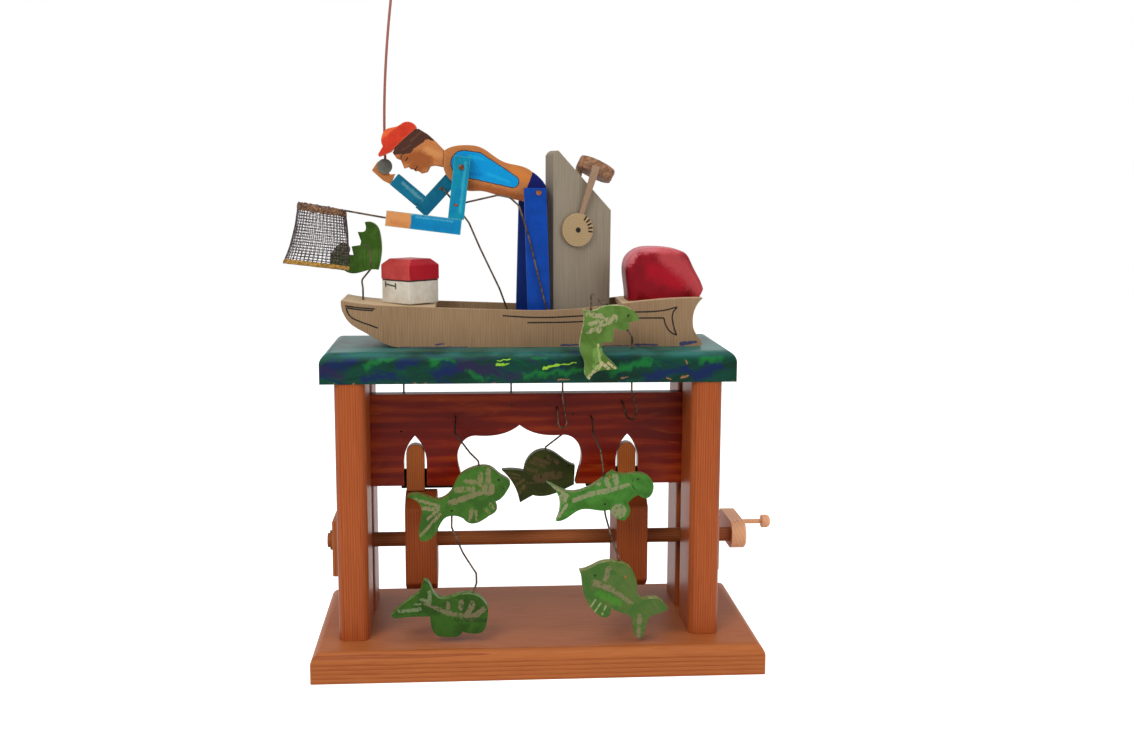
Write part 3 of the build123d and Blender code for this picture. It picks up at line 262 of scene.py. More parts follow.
def surface(tree, colour, rough, height=None, relief=0.15, depth=0.0004, **plain):
    """Ends a material: one Principled shader, with a bump from height."""
    inputs = {"Base Color": colour, "Roughness": rough, "Specular IOR Level": 0.12}
    inputs.update({key.replace("_", " "): value for key, value in plain.items()})
    shader = add(tree, "BsdfPrincipled", inputs)
    if height is not None:
        bump = add(tree, "Bump", {"Strength": relief, "Distance": depth, "Height": height})
        tree.links.new(bump.outputs[0], shader.inputs["Normal"])
    add(tree, "OutputMaterial", {"Surface": shader.outputs[0]})


def wood_material(name, early, late, gap, wobble=3.0, fleck=0.8, turn=(0, 0, 0), move=(0, 0, 0), rough=0.5,
                  relief=0.2, worn=None):
    """Bare or oiled wood with its grain along Z before turn, and a paler or darker rubbed edge."""
    material, tree = new_material(name)
    vector = placed(tree, turn, move)
    colour, height = timber_colour(tree, vector, gap, wobble, fleck, early, late)
    if worn:
        colour = tinted(tree, colour, rubbed_edge(tree, 1.6 * MM), 0.55, worn)
    surface(tree, colour, maths(tree, "ADD", times(tree, height, 0.25), rough), height, relief)
    return material


def welded(mesh):
    """A bmesh of a node's loose triangles, joined where they meet."""
    bm = bmesh.new()
    bm.from_mesh(mesh)
    bmesh.ops.remove_doubles(bm, verts=bm.verts, dist=0.003 * MM)
    return bm


def rounded(bm, edges, width, segments):
    bmesh.ops.bevel(bm, geom=edges, offset=width * MM, offset_type="OFFSET", segments=segments, profile=0.5,
                    affect="EDGES", material=-1, clamp_overlap=True)


flat_angle = radians(0.8)
sharp_angle = radians(35.0)


def clean_mesh(mesh, soften, segments):
    """Turns a node's loose triangles into flat faces with eased edges."""
    bm = welded(mesh)
    bmesh.ops.dissolve_limit(bm, angle_limit=flat_angle, verts=bm.verts, edges=bm.edges)
    if soften:
        corners = [e for e in bm.edges if len(e.link_faces) == 2 and e.calc_face_angle(0.0) > sharp_angle]
        rounded(bm, corners, soften, segments)
    for face in bm.faces:
        face.smooth = True
    bm.to_mesh(mesh)
    bm.free()


def even_shading(piece):
    piece.modifiers.new("even shading", "WEIGHTED_NORMAL").keep_sharp = True


def shown(name, mesh, material, body, slot, *stands_for):
    """Puts a finished mesh on its body, in the place of the solids it stands for."""
    mesh.materials.clear()
    mesh.materials.append(material)
    piece = bpy.data.objects.new(name, mesh)
    bpy.context.scene.collection.objects.link(piece)
    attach(piece, body)
    if stands_for:
        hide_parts(*stands_for)
    return piece


def dressed(node, slot, material, soften=0.5, segments=2):
    """A copy of a solid with eased edges and its finish, in the solid's own place."""
    mesh = frame["nodes"][node].data.copy()
    mesh.name = node + "_surface"
    clean_mesh(mesh, soften, segments)
    even_shading(shown(node + "_finished", mesh, material, frame["nodes"][node]["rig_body"], slot, node))


def built(name, bm, smooth=True):
    """A mesh from a finished bmesh, with its faces turned outwards."""
    bmesh.ops.recalc_face_normals(bm, faces=bm.faces)
    for face in bm.faces:
        face.smooth = smooth
    mesh = bpy.data.meshes.new(name + "_surface")
    bm.to_mesh(mesh)
    bm.free()
    return mesh


cedar_long = wood_material("oiled cedar, long grain", "b06636", "8c4620", gap=2.6 * MM, wobble=2.2, fleck=1.3,
                           turn=(0, -90, 0), move=(0.25, 0.35, 0.0), rough=0.42, worn="c98a5c")
dressed("base_board", "base_wood", cedar_long, soften=0.6)

# ---- Posts and bearing blocks -------------------------------------------------------------------
# Four upright boards with rounded edges, in two pairs with a slot between front and back, and the
# two square blocks outside them that the axle turns in. Satin reddish-brown wood.
post_finish = wood_material("post wood", "aa562a", "863c18", gap=1.9 * MM, wobble=1.6, fleck=1.3,
                            move=(0.9, 0.45, 0.0), rough=0.36, worn="bf7444")
dressed("posts", "post_wood", post_finish, soften=0.5)
block_finish = wood_material("bearing block wood", "b4683a", "8e4a24", gap=2.6 * MM, wobble=2.0,
                             move=(0.0, 0.03, 0.0), rough=0.45, worn="cf9468")
dressed("bearing_blocks", "base_wood", block_finish, soften=0.8)

# ---- Axle, cams and crank -----------------------------------------------------------------------
# A hardwood dowel with two bar cams sawn from thick board, pinned at its ends. The crank arm is pale
# maple, with a turned peg and knob in it.
axle_finish = wood_material("axle dowel", "a05a30", "7c4220", gap=2.2 * MM, wobble=1.5, turn=(0, -90, 0),
                            move=(0.0, 0.02, 0.0), rough=0.4)
cam_finish = wood_material("cam wood", "96481f", "702f12", gap=2.1 * MM, wobble=0.8, fleck=1.2,
                           move=(0.9, 0.3, 0.0), rough=0.5, worn="a9663a")
maple = wood_material("pale maple", "ecb48a", "dc9c72", gap=3.2 * MM, wobble=2.0, fleck=0.5, turn=(90, 0, 0),
                      move=(0.0, 0.02, 0.01), rough=0.42, worn="efcfae")


def metal_material(name, clean, tarnished, rough=0.38, metallic=0.9):
    """Drawn wire or sheet, with slow patches of tarnish."""
    material, tree = new_material(name)
    vector = placed(tree)
    patches = noise(tree, vector, 260.0, 4.0, 0.6)
    colour = mixed(tree, band(tree, patches, 0.35, 0.65), tone(clean), tone(tarnished))
    roughness = maths(tree, "ADD", times(tree, patches, 0.3), rough - 0.1)
    surface(tree, colour, roughness, patches, 0.1, Metallic=metallic)
    return material


brass = metal_material("dull brass", "b08a52", "6a4a2c")
dressed("axle", "axle_wood", axle_finish, soften=0.6)
dressed("axle_pins", "brass_wire", brass, soften=0.2)
for cam in ("left_cam", "right_cam"):
    dressed(cam, "cam_wood", cam_finish, soften=0.7)
dressed("crank_arm", "pale_wood", maple, soften=0.4)
dressed("crank_peg", "pale_wood", maple, soften=0.2)

# ---- Lift rail, cam shoes and backings ----------------------------------------------------------
# A dark varnished board with an ogee opening and two pointed slots, and wavy flat-sawn grain along
# it. The polished shoes stand in the slots on the cams, against short black laths behind.


def rail_material():
    """Varnished board whose flat-sawn figure runs along it in slow waves, with glints between."""
    material, tree = new_material("rail varnish")
    vector = placed(tree, turn=(0, -90, 0))
    figure = {"Vector": stretched(tree, vector, (1.0, 0.4, 0.16)), "Scale": 30.0, "Distortion": 9.0,
              "Detail": 3.0, "Detail Scale": 0.42, "Detail Roughness": 0.6}
    wave = add(tree, "TexWave", figure, wave_type="BANDS", bands_direction="X", wave_profile="SIN")
    lines = wave.outputs["Fac"]
    slow = noise(tree, stretched(tree, vector, (40.0, 30.0, 9.0)), 1.0, 3.0, 0.5, 0.8)
    fibre = noise(tree, stretched(tree, vector, (1500.0, 1500.0, 40.0)), 1.0, 2.0)
    share = maths(tree, "ADD", times(tree, lines, 0.24), times(tree, slow, 1.05))
    share = maths(tree, "ADD", share, times(tree, maths(tree, "SUBTRACT", fibre, 0.5), 0.45))
    colour = mixed(tree, band(tree, share, 0.35, 0.75), tone("963408"), tone("741404"))
    dark = band(tree, maths(tree, "ADD", slow, times(tree, lines, 0.16)), 0.58, 0.76)
    colour = tinted(tree, colour, dark, 0.4, "480a03")
    glint = noise(tree, stretched(tree, vector, (70.0, 60.0, 16.0)), 1.0, 2.0, 0.5, 1.2)
    colour = tinted(tree, colour, band(tree, glint, 0.6, 0.72), 0.55, "9a4414")
    colour = tinted(tree, colour, rubbed_edge(tree, 1.4 * MM), 0.5, "8e4420")
    surface(tree, colour, 0.3, fibre, 0.12)
    return material


shoe_finish = wood_material("shoe wood", "b0602a", "843f14", gap=1.6 * MM, wobble=1.5, move=(0.9, 0.03, 0.0),
                            rough=0.28, worn="d89556")
# The laths are coloured almost black.
lath_finish = wood_material("near-black lath", "2c1a12", "160c08", gap=2.4 * MM, turn=(0, -90, 0), rough=0.6)
dressed("lift_rail", "rail_wood", rail_material(), soften=0.5)
dressed("cam_shoes", "shoe_wood", shoe_finish, soften=0.9, segments=3)
dressed("shoe_backings", "dark_lath", lath_finish, soften=0.3)

# ---- Lift wires ---------------------------------------------------------------------------------
# Plain steel wire, bent by hand and browned by age, from the rail up to the arms and the two upper
# fish. The hanging fish are on the same wire.
old_wire = metal_material("browned wire", "6b5a4c", "3d2f28", rough=0.45, metallic=0.75)
wires = ["near_arm_wire", "far_arm_wire", "net_fish_wire", "jump_fish_wire"]
wires += [f"fish_{n}_wire" for n in range(1, 6)]
for name in wires:
    dressed(name, "steel_wire", old_wire, soften=0.0)

# ---- Wave board ---------------------------------------------------------------------------------
# The board under the boat is brushed in greens, blues and purple for water, lighter along its top,
# with a few yellow-green dabs, and worn to bare wood in spots along its lower edge.
wave_blues = [(-186.0, 250.0, -150.0, 262.0, 10.0, 7.0), (-112.7, 258.4, -97.8, 261.7, 7.0, 4.0),
              (-83.1, 249.9, -64.9, 255.6, 9.0, 7.0), (90.8, 247.0, 121.2, 252.7, 8.0, 4.5),
              (131.5, 248.4, 149.7, 255.9, 9.5, 7.0), (-140.0, 247.0, -118.0, 250.0, 7.0, 4.0)]
wave_purples = [(-63.2, 258.1, -33.4, 251.2, 10.0, 8.0), (-48.2, 266.4, -33.3, 266.3, 6.0, 4.0),
                (-6.7, 261.1, -3.4, 259.4, 4.0, 2.5), (-176.0, 256.0, -160.0, 249.0, 6.0, 4.0),
                (-26.0, 247.5, -12.0, 249.0, 5.0, 3.0)]
wave_greens = [(-86.3, 261.6, -58.2, 267.3, 7.5, 3.3), (-20.0, 266.0, 6.6, 266.4, 4.0, 4.0),
               (-10.1, 248.5, 36.8, 253.3, 4.0, 3.5), (134.6, 260.3, 149.5, 263.6, 6.5, 6.5),
               (-140.0, 258.0, -120.0, 265.0, 6.0, 4.0), (60.0, 252.0, 92.0, 261.0, 7.0, 5.0),
               (-58.0, 252.0, -44.0, 246.0, 3.0, 2.0)]
wave_dabs = [(-33.7, 257.9, -24.2, 258.7, 2.4, 1.0), (-33.3, 261.3, -23.4, 262.1, 1.0, 0.8),
             (4.6, 254.7, 16.7, 257.6, 2.7, 1.6), (18.3, 257.3, 30.1, 259.2, 1.2, 0.7)]
wave_scratches = [(117.9, 246.4, 123.3, 248.1, 2.2, 1.0), (106.0, 246.0, 109.4, 245.1, 1.3, 0.8),
                  (67.8, 245.8, 73.9, 247.1, 1.4, 0.5), (16.7, 245.0, 25.1, 244.9, 1.5, 0.7),
                  (121.4, 260.3, 121.8, 257.8, 1.3, 1.0)]


wave_front = (-61.0 * MM, -59.5 * MM)
wave_top = (260.5 * MM, 267.6 * MM)
wave_foot = (242.5 * MM, 244.2 * MM)


def wave_material():
    """Brushed green water with slow blue drifts, placed strokes on its front and worn spots at its foot."""
    material, tree = new_material("wave paint")
    along = placed(tree, turn=(0, 12, 0))
    across = placed(tree, turn=(0, -24, 8))
    long_strokes = stretched(tree, along, (16.0, 30.0, 80.0))
    slant_strokes = stretched(tree, across, (22.0, 34.0, 120.0))
    greens = band(tree, noise(tree, long_strokes, 1.0, 4.0, 0.6, 0.6), 0.35, 0.62)
    colour = mixed(tree, greens, tone("022a1e"), tone("043c2c"))
    blue = band(tree, noise(tree, slant_strokes, 0.9, 3.0, 0.55, 0.8), 0.55, 0.66)
    colour = tinted(tree, colour, blue, 0.75, "062048")
    fresh = band(tree, noise(tree, slant_strokes, 1.9, 5.0, 0.65, 0.4), 0.57, 0.72)
    colour = tinted(tree, colour, fresh, 0.6, "085428")
    spot = add(tree, "SeparateXYZ", {0: placed(tree)}).outputs
    front = maths(tree, "SUBTRACT", 1.0, band(tree, spot["Y"], *wave_front))
    broad = brush_place(tree, 3.6, grain=130.0)
    for strokes, shade, share, soft in ((wave_blues, "0c1c50", 0.85, 3.0), (wave_purples, "251c40", 0.8, 3.0),
                                        (wave_greens, "14702e", 0.75, 2.2)):
        mask = times(tree, brushed(tree, broad, strokes, soft=soft), front)
        colour = tinted(tree, colour, mask, share, shade)
    misty = noise(tree, stretched(tree, along, (20.0, 20.0, 60.0)), 1.0, 3.0)
    top = times(tree, band(tree, spot["Z"], *wave_top), band(tree, misty, 0.3, 0.62))
    colour = tinted(tree, colour, top, 0.6, "36807a")
    fine = brush_place(tree, 0.9, grain=300.0)
    for strokes, shade in ((wave_dabs, "8abb34"), (wave_scratches, "8c6446")):
        colour = tinted(tree, colour, brushed(tree, fine, strokes, soft=0.3), front, shade)
    bristle = noise(tree, stretched(tree, along, (60.0, 900.0, 1300.0)), 1.0, 2.0)
    colour = mixed(tree, 0.3, colour, mixed(tree, bristle, tone("202020"), tone("e0e0e0")), "SOFT_LIGHT")
    foot = maths(tree, "SUBTRACT", 1.0, band(tree, spot["Z"], *wave_foot))
    chips = band(tree, noise(tree, placed(tree), 230.0, 4.0, 0.6), 0.6, 0.66)
    colour = tinted(tree, colour, times(tree, foot, chips), 0.8, "b07a60")
    surface(tree, colour, 0.36, bristle, 0.25)
    return material


dressed("wave_board", "wave_paint", wave_material(), soften=0.8, segments=3)

# ---- Boat ---------------------------------------------------------------------------------------
# Thin plywood sides about a floor, bow plate, transom and two decks, all left bare with a fine
# upright grain. The stripes and the stern's crescent are drawn on the near side with a pen.
hull_stains = [(-84.6, 270.4, -77.8, 271.1, 1.3, 1.0), (20.6, 269.4, 36.1, 269.8, 1.8, 1.3),
               (82.9, 269.6, 102.0, 269.3, 1.8, 1.5), (122.9, 270.0, 135.1, 271.7, 3.7, 2.1),
               (39.6, 268.3, 77.7, 268.9, 0.7, 0.7), (-114.3, 268.3, -58.2, 268.2, 1.0, 0.7)]


def plywood_material(name, early, late, stains=()):
    """Bare plywood with close upright grain and, along its foot, stains from the wave paint."""
    material, tree = new_material(name)
    vector = placed(tree, move=(0.9, 0.3, 0.0))
    colour, height = timber_colour(tree, vector, 1.25 * MM, 1.3, 1.5, early, late)
    blotch = band(tree, noise(tree, placed(tree), 28.0, 3.0), 0.4, 0.7)
    colour = tinted(tree, colour, blotch, 0.25, "8f6f50")
    if stains:
        colour = tinted(tree, colour, brushed(tree, brush_place(tree, 0.5), stains, soft=0.3), 0.9, "25355f")
    colour = tinted(tree, colour, rubbed_edge(tree, 1.2 * MM), 0.4, "c9b193")
    surface(tree, colour, 0.62, height, 0.35)
    return material


side_finish = plywood_material("boat side plywood", "9c7f60", "785d43", hull_stains)
ply_finish = plywood_material("boat plywood", "9c7f60", "785d43")
deck_finish = wood_material("deck wood", "cbb28e", "ab8c66", gap=2.5 * MM, wobble=2.0, turn=(0, -90, 0),
                            move=(0.0, 0.4, 0.0), rough=0.6)
inner_finish = wood_material("shaded hull wood", "8e745a", "6a523e", gap=2.5 * MM, turn=(0, -90, 0),
                             rough=0.65)
dressed("hull_sides", "boat_wood", side_finish, soften=0.35)
for plate in ("bow_plate", "transom"):
    dressed(plate, "boat_wood", ply_finish, soften=0.25)
dressed("hull_bottom", "boat_wood", inner_finish, soften=0.2)
for deck in ("bow_deck", "stern_deck"):
    dressed(deck, "boat_wood", deck_finish, soften=0.25)


def ink_material():
    """Black ink, gone brown where it has faded."""
    material, tree = new_material("pen ink")
    faded = noise(tree, placed(tree), 900.0, 3.0, 0.6)
    colour = mixed(tree, band(tree, faded, 0.5, 0.75), tone("1d1a18"), tone("4a4038"))
    surface(tree, colour, 0.6, faded, 0.05)
    return material


ink = ink_material()
hull_near_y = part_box("hull_sides")[0].y


def pen_line(name, points, y, body="stand", radius=1.0, sunk=0.76, finish=None):
    """A drawn line through (X, Z) in millimetres, sunk until it is almost flush with the surface at y."""
    data = bpy.data.curves.new(name, "CURVE")
    data.dimensions = "3D"
    data.bevel_depth = radius * MM
    data.bevel_resolution = 3
    data.resolution_u = 8
    spline = data.splines.new("BEZIER")
    spline.bezier_points.add(len(points) - 1)
    for knot, (x, z) in zip(spline.bezier_points, points):
        knot.co = (x * MM, y + sunk * MM, z * MM)
        knot.handle_left_type = knot.handle_right_type = "AUTO"
    data.materials.append(finish or ink)
    line = bpy.data.objects.new(name, data)
    bpy.context.scene.collection.objects.link(line)
    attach(line, body)


pen_lines = {
    "bow_line_upper": [(-159.0, 303.2), (-147.0, 301.6), (-134.5, 300.6)],
    "bow_line_lower": [(-158.4, 301.6), (-147.0, 300.0), (-136.0, 299.2)],
    "bow_curve": [(-158.2, 301.0), (-155.0, 294.6), (-147.2, 290.2), (-139.0, 287.2), (-132.5, 284.6)],
    "stripe_upper": [(-28.5, 294.6), (0.0, 293.0), (34.0, 294.0), (78.0, 297.0), (107.0, 298.6),
                     (118.5, 301.4)],
    "stripe_lower": [(-8.0, 288.6), (34.0, 289.2), (79.0, 292.0), (107.5, 292.2)],
    "stern_crescent_outer": [(118.5, 301.4), (115.0, 296.0), (116.0, 284.5), (118.6, 277.5)],
    "stern_crescent_inner": [(107.5, 292.0), (109.0, 286.5), (113.0, 280.5), (118.6, 277.5)],
}
for name, points in pen_lines.items():
    pen_line(name, points, hull_near_y)

# ---- Cooler and outboard cowl -------------------------------------------------------------------
# Two carved and painted blocks: a cream cooler with a red chamfered lid on the bow deck, and the
# motor's rounded red cowl on the stern deck. The paint is worn through at their edges.


def painted_material(name, colour, shade, worn, rough=0.42, wear=0.8, marks=()):
    """Hand-brushed paint with slow shifts of tone, bristle marks, placed strokes and rubbed edges."""
    material, tree = new_material(name)
    vector = placed(tree)
    slow = noise(tree, vector, 90.0, 4.0, 0.6)
    paint = mixed(tree, band(tree, slow, 0.3, 0.7), tone(colour), tone(shade))
    paint, bristle = bristled(tree, vector, paint)
    for strokes, shade, share, ragged, soft in marks:
        mask = brushed(tree, brush_place(tree, ragged), strokes, soft=soft)
        paint = tinted(tree, paint, mask, share, shade)
    paint = tinted(tree, paint, rubbed_edge(tree, 1.3 * MM), wear, worn)
    surface(tree, paint, rough, bristle, 0.2)
    return material


# The cowl's strokes are painted shade on its lower left, painted highlights along its top and on its right,
# and a brighter red in its middle.
cowl_shade_and_highlight_marks = [([(82.0, 319.0, 100.0, 309.0, 26.0, 16.0)], "7c0616", 0.75, 3.0, 4.0),
              ([(88.0, 351.0, 128.0, 351.0, 9.0, 9.0), (77.0, 336.0, 84.0, 348.0, 4.0, 7.0)],
               "d2737a", 0.75, 2.0, 2.5),
              ([(112.0, 345.0, 139.0, 316.0, 18.0, 13.0)], "b8484c", 0.65, 2.0, 4.5),
              ([(100.0, 331.0, 122.0, 320.0, 14.0, 12.0)], "a4081e", 0.7, 2.0, 4.5)]
cowl_paint = painted_material("cowl paint", "900c1c", "740816", "cf7470", rough=0.45, marks=cowl_shade_and_highlight_marks)
lid_marks = [([(-88.6, 331.0, -88.6, 332.0, 35.6, 35.6)], "a80a20", 0.85, 0.5, 0.5)]
lid_paint = painted_material("lid paint", "c44844", "b23c3a", "d67f7a", rough=0.4, wear=0.7, marks=lid_marks)
cooler_marks = [([(-135.0, 323.3, -78.0, 323.3, 2.6, 2.6)], "191412", 0.95, 0.2, 0.2),
                ([(-127.0, 319.0, -118.6, 317.6, 1.5, 1.5), (-127.3, 320.9, -127.0, 316.9, 1.3, 1.3),
                  (-118.5, 319.9, -118.2, 315.8, 1.3, 1.3)], "2a211c", 0.9, 0.15, 0.2)]
cream_paint = painted_material("cream paint", "dcd6ca", "cbc2b0", "a08a6a", rough=0.5, wear=0.5,
                               marks=cooler_marks)
dressed("cooler_body", "cream_paint", cream_paint, soften=0.8)
dressed("cooler_lid", "red_paint", lid_paint, soften=0.8)

# The cowl's lower back corner is cut off on a slant.
cowl_cut_place = Vector((139.6, 0.0, 309.2)) * MM
cowl_cut_facing = (0.86, 0.0, -0.51)
bm = welded(frame["nodes"]["outboard_cowl"].data)
everything = bm.verts[:] + bm.edges[:] + bm.faces[:]
sliced = bmesh.ops.bisect_plane(bm, geom=everything, plane_co=cowl_cut_place, plane_no=cowl_cut_facing,
                                clear_outer=True)
cut_rim = [item for item in sliced["geom_cut"] if isinstance(item, bmesh.types.BMEdge)]
bmesh.ops.contextual_create(bm, geom=cut_rim)
cowl_mesh = built("cowl", bm)
even_shading(shown("outboard_cowl_finished", cowl_mesh, cowl_paint, "stand", "red_paint", "outboard_cowl"))

# ---- Console and helm ---------------------------------------------------------------------------
# A grey weathered board set across the boat on edge. A pin through it carries a pale disc and stick
# on each face, and a wheel of rough brown wood is fixed across the tops of the sticks.
console_finish = wood_material("weathered board", "95897a", "80755f", gap=1.3 * MM, wobble=1.0, fleck=1.5,
                               turn=(0, 0, -18), move=(0.9, 0.3, 0.0), rough=0.7, relief=0.4, worn="a99b84")
disc_finish = wood_material("pale disc wood", "a9906c", "9d8460", gap=2.0 * MM, turn=(0, -90, 0),
                            move=(0.9, 0.3, 0.0), rough=0.55, worn="c7b79a")
stick_finish = wood_material("helm stick wood", "a58a70", "8a6e55", gap=1.4 * MM, move=(0.9, 0.3, 0.0),
                             rough=0.5, worn="b0707a")
dressed("console_board", "grey_wood", console_finish, soften=0.6)
dressed("helm_discs", "grey_wood", disc_finish, soften=0.4)
dressed("helm_pin", "brass_wire", brass, soften=0.3)

board_turn = radians(18.0)
board_across = Vector((cos(board_turn), sin(board_turn), 0.0))
board_normal = Vector((sin(board_turn), -cos(board_turn), 0.0))
board_origin = Vector((15.5, -1.0, 270.8)) * MM
dial_across, dial_up = 21.2 * MM, 94.0 * MM
upright = Vector((0.0, 0.0, 1.0))


def on_board(across, above, out):
    """A place by its distance across the board, above its foot and out of its middle plane."""
    return board_origin + board_across * across + upright * above + board_normal * out


def out_of_board(node):
    """The furthest and nearest reach of a solid out of the board's middle plane."""
    reach = [(vertex.co - board_origin).dot(board_normal) for vertex in frame["nodes"][node].data.vertices]
    return max(reach), min(reach)


def skinned(bm, low, high):
    """A closed wall of faces between two rings with the same number of corners."""
    for n in range(len(low)):
        after = (n + 1) % len(low)
        bm.faces.new((low[n], low[after], high[after], high[n]))


def lofted(bm, rings):
    """A closed solid through a row of rings, capped at both ends."""
    for low, high in zip(rings, rings[1:]):
        skinned(bm, low, high)
    bm.faces.new(rings[0])
    bm.faces.new(rings[-1])


wheel_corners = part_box("helm_wheel")
wheel_middle = (wheel_corners[0] + wheel_corners[1]) * 0.5
wheel_across = (wheel_middle - board_origin).dot(board_across) - dial_across
wheel_above = wheel_middle.z - board_origin.z - dial_up
stick_end = (wheel_across ** 2 + wheel_above ** 2) ** 0.5 / MM + 1.0
stick_lean = (sin(radians(15.0)), cos(radians(15.0)))
stick_half_depth = 1.6
stick_edge = 0.5
wheel_front, wheel_back = out_of_board("helm_wheel")
disc_front, disc_back = out_of_board("helm_discs")


def helm_stick(bm, foot_out, top_out):
    """One lath from the disc's edge to the wheel's rim, wider and further out towards the wheel."""
    rings = []
    for along, half, out in ((11.0, 1.9, foot_out), (30.0, 2.4, foot_out * 0.6 + top_out * 0.4),
                             (50.0, 3.1, top_out), (stick_end, 3.3, top_out)):
        ring = []
        for side, deep in ((-1, -1), (1, -1), (1, 1), (-1, 1)):
            across = dial_across + (stick_lean[0] * along + stick_lean[1] * side * half) * MM
            above = dial_up + (stick_lean[1] * along - stick_lean[0] * side * half) * MM
            ring.append(bm.verts.new(on_board(across, above, out + deep * stick_half_depth * MM)))
        rings.append(ring)
    lofted(bm, rings)


bm = bmesh.new()
helm_stick(bm, disc_front - 2.0 * MM, wheel_front + 1.1 * MM)
helm_stick(bm, disc_back + 2.0 * MM, wheel_back - 1.1 * MM)
rounded(bm, bm.edges[:], stick_edge, 2)
sticks = built("helm_sticks", bm)
even_shading(shown("helm_sticks_finished", sticks, stick_finish, "helm", "pale_wood", "helm_sticks"))

# Five short notches are inked round the near disc, and a dark ring is left round its pin.
notch_middles = ((6.7, 10.0), (9.2, 7.7), (10.7, 4.8), (11.5, 1.7), (11.6, -1.5))
notch_corners = ((-2.3, -0.7), (1.9, -0.7), (1.9, 0.7), (-2.3, 0.7))
bm = bmesh.new()
for across, above in notch_middles:
    spoke = Vector((across, above)).normalized()
    corners = []
    for run, side in notch_corners:
        u = across + spoke.x * run - spoke.y * side
        v = above + spoke.y * run + spoke.x * side
        corners.append((dial_across + u * MM, dial_up + v * MM))
    front = [bm.verts.new(on_board(u, v, disc_front + 0.1 * MM)) for u, v in corners]
    back = [bm.verts.new(on_board(u, v, disc_front - 0.3 * MM)) for u, v in corners]
    bm.faces.new(front)
    skinned(bm, front, back)
shown("dial_notches", built("dial_notches", bm, smooth=False), ink, "helm", "grey_wood")

pin_ring_radius = 2.3 * MM
bm = bmesh.new()
ring = []
for degrees in range(0, 360, 12):
    across = dial_across + pin_ring_radius * cos(radians(degrees))
    above = dial_up + pin_ring_radius * sin(radians(degrees))
    ring.append(bm.verts.new(on_board(across, above, disc_front + 0.12 * MM)))
bm.faces.new(ring)
extruded = bmesh.ops.extrude_face_region(bm, geom=bm.faces[:])["geom"]
sunk = [item for item in extruded if isinstance(item, bmesh.types.BMVert)]
bmesh.ops.translate(bm, verts=sunk, vec=-board_normal * 0.4 * MM)
shown("dial_pin_ring", built("dial_pin_ring", bm, smooth=False), ink, "helm", "grey_wood")


def bark_material():
    """Rough reddish-brown wood like bark, mottled with pink and dark flecks."""
    material, tree = new_material("rough wheel wood")
    coarse = noise(tree, placed(tree), 260.0, 5.0, 0.65, 0.6)
    fine = noise(tree, placed(tree), 1100.0, 4.0, 0.6)
    colour = mixed(tree, band(tree, coarse, 0.35, 0.62), tone("6e4c36"), tone("a07858"))
    colour = tinted(tree, colour, band(tree, coarse, 0.56, 0.66), 0.5, "b5604a")
    colour = tinted(tree, colour, band(tree, fine, 0.58, 0.7), 0.5, "a98b8a")
    colour = mixed(tree, band(tree, fine, 0.42, 0.3), colour, tone("40291c"))
    relief = maths(tree, "ADD", times(tree, coarse, 0.7), times(tree, fine, 0.3))
    surface(tree, colour, 0.6, relief, 0.6, 0.0012)
    return material


# The wheel is a thick slice of a branch, a little out of round, that leans on its sticks.
wheel_radius = 16.3
wheel_levels = ((-5.7, 1.6), (-5.3, 0.5), (-3.2, 0.0), (0.0, 0.0), (3.2, 0.0), (5.3, 0.5), (5.7, 1.6))
wheel_corner_count = 96
wheel_tilt = radians(27.0)
wheel_axis = board_across * sin(wheel_tilt) + upright * cos(wheel_tilt)
wheel_middle = wheel_middle + board_across * 5.0 * MM - upright * 1.0 * MM
wheel_side = wheel_axis.cross(board_normal).normalized()
wheel_deep = wheel_axis.cross(wheel_side).normalized()
bm = bmesh.new()
rings = []
for height, shrink in wheel_levels:
    ring = []
    for n in range(wheel_corner_count):
        turn = radians(360.0 * n / wheel_corner_count)
        spot = Vector((cos(turn) * 7.0, sin(turn) * 7.0, height * 0.5))
        radius = wheel_radius - shrink + 0.45 * mathnoise.noise(spot) + 0.2 * mathnoise.noise(spot * 3.1)
        outward = wheel_side * cos(turn) + wheel_deep * sin(turn)
        ring.append(bm.verts.new(wheel_middle + outward * radius * MM + wheel_axis * height * MM))
    rings.append(ring)
lofted(bm, rings)
wheel_mesh = built("helm_wheel", bm)
even_shading(shown("helm_wheel_finished", wheel_mesh, bark_material(), "helm", "bark_wood", "helm_wheel"))

# ---- Angler: legs and torso ---------------------------------------------------------------------
# Flat sawn pieces: bright blue trousers, and a bare carved torso whose shirt is a painted patch with
# a dark outline on each side. The torso rocks on a pin through both legs.
near_leg_paint = painted_material("near trouser paint", "0644a4", "053c90", "2458ac", rough=0.36, wear=0.35)
# The far leg is a darker blue than the near one as painted shade, for it is on the far side of the figure.
far_leg_shaded_paint = painted_material("far trouser paint in painted shade", "082c78", "062264", "204488", rough=0.4, wear=0.35)
rusty = metal_material("rusty iron", "9a5a38", "4e2e1e", rough=0.5, metallic=0.5)


def figure_material(name, marks):
    """Carved and oiled wood of the figure, with painted shade, painted highlights, other tones, hair or shirt
    brushed on it.
    """
    material, tree = new_material(name)
    vector = placed(tree, turn=(0, 62, 0), move=(0.6, 0.3, 0.0))
    colour, height = timber_colour(tree, vector, 1.7 * MM, 2.0, 1.1, "c07c48", "a35c2e")
    colour = tinted(tree, colour, rubbed_edge(tree, 1.8 * MM), 0.6, "d09468")
    for strokes, shade, share, grow, ragged, soft in marks:
        mask = brushed(tree, brush_place(tree, ragged), strokes, grow, soft)
        colour = tinted(tree, colour, mask, share, shade)
    carved = noise(tree, placed(tree), 240.0, 2.0, 0.4)
    height = maths(tree, "ADD", times(tree, height, 0.4), carved)
    surface(tree, colour, 0.34, height, 0.35, 0.0008)
    return material


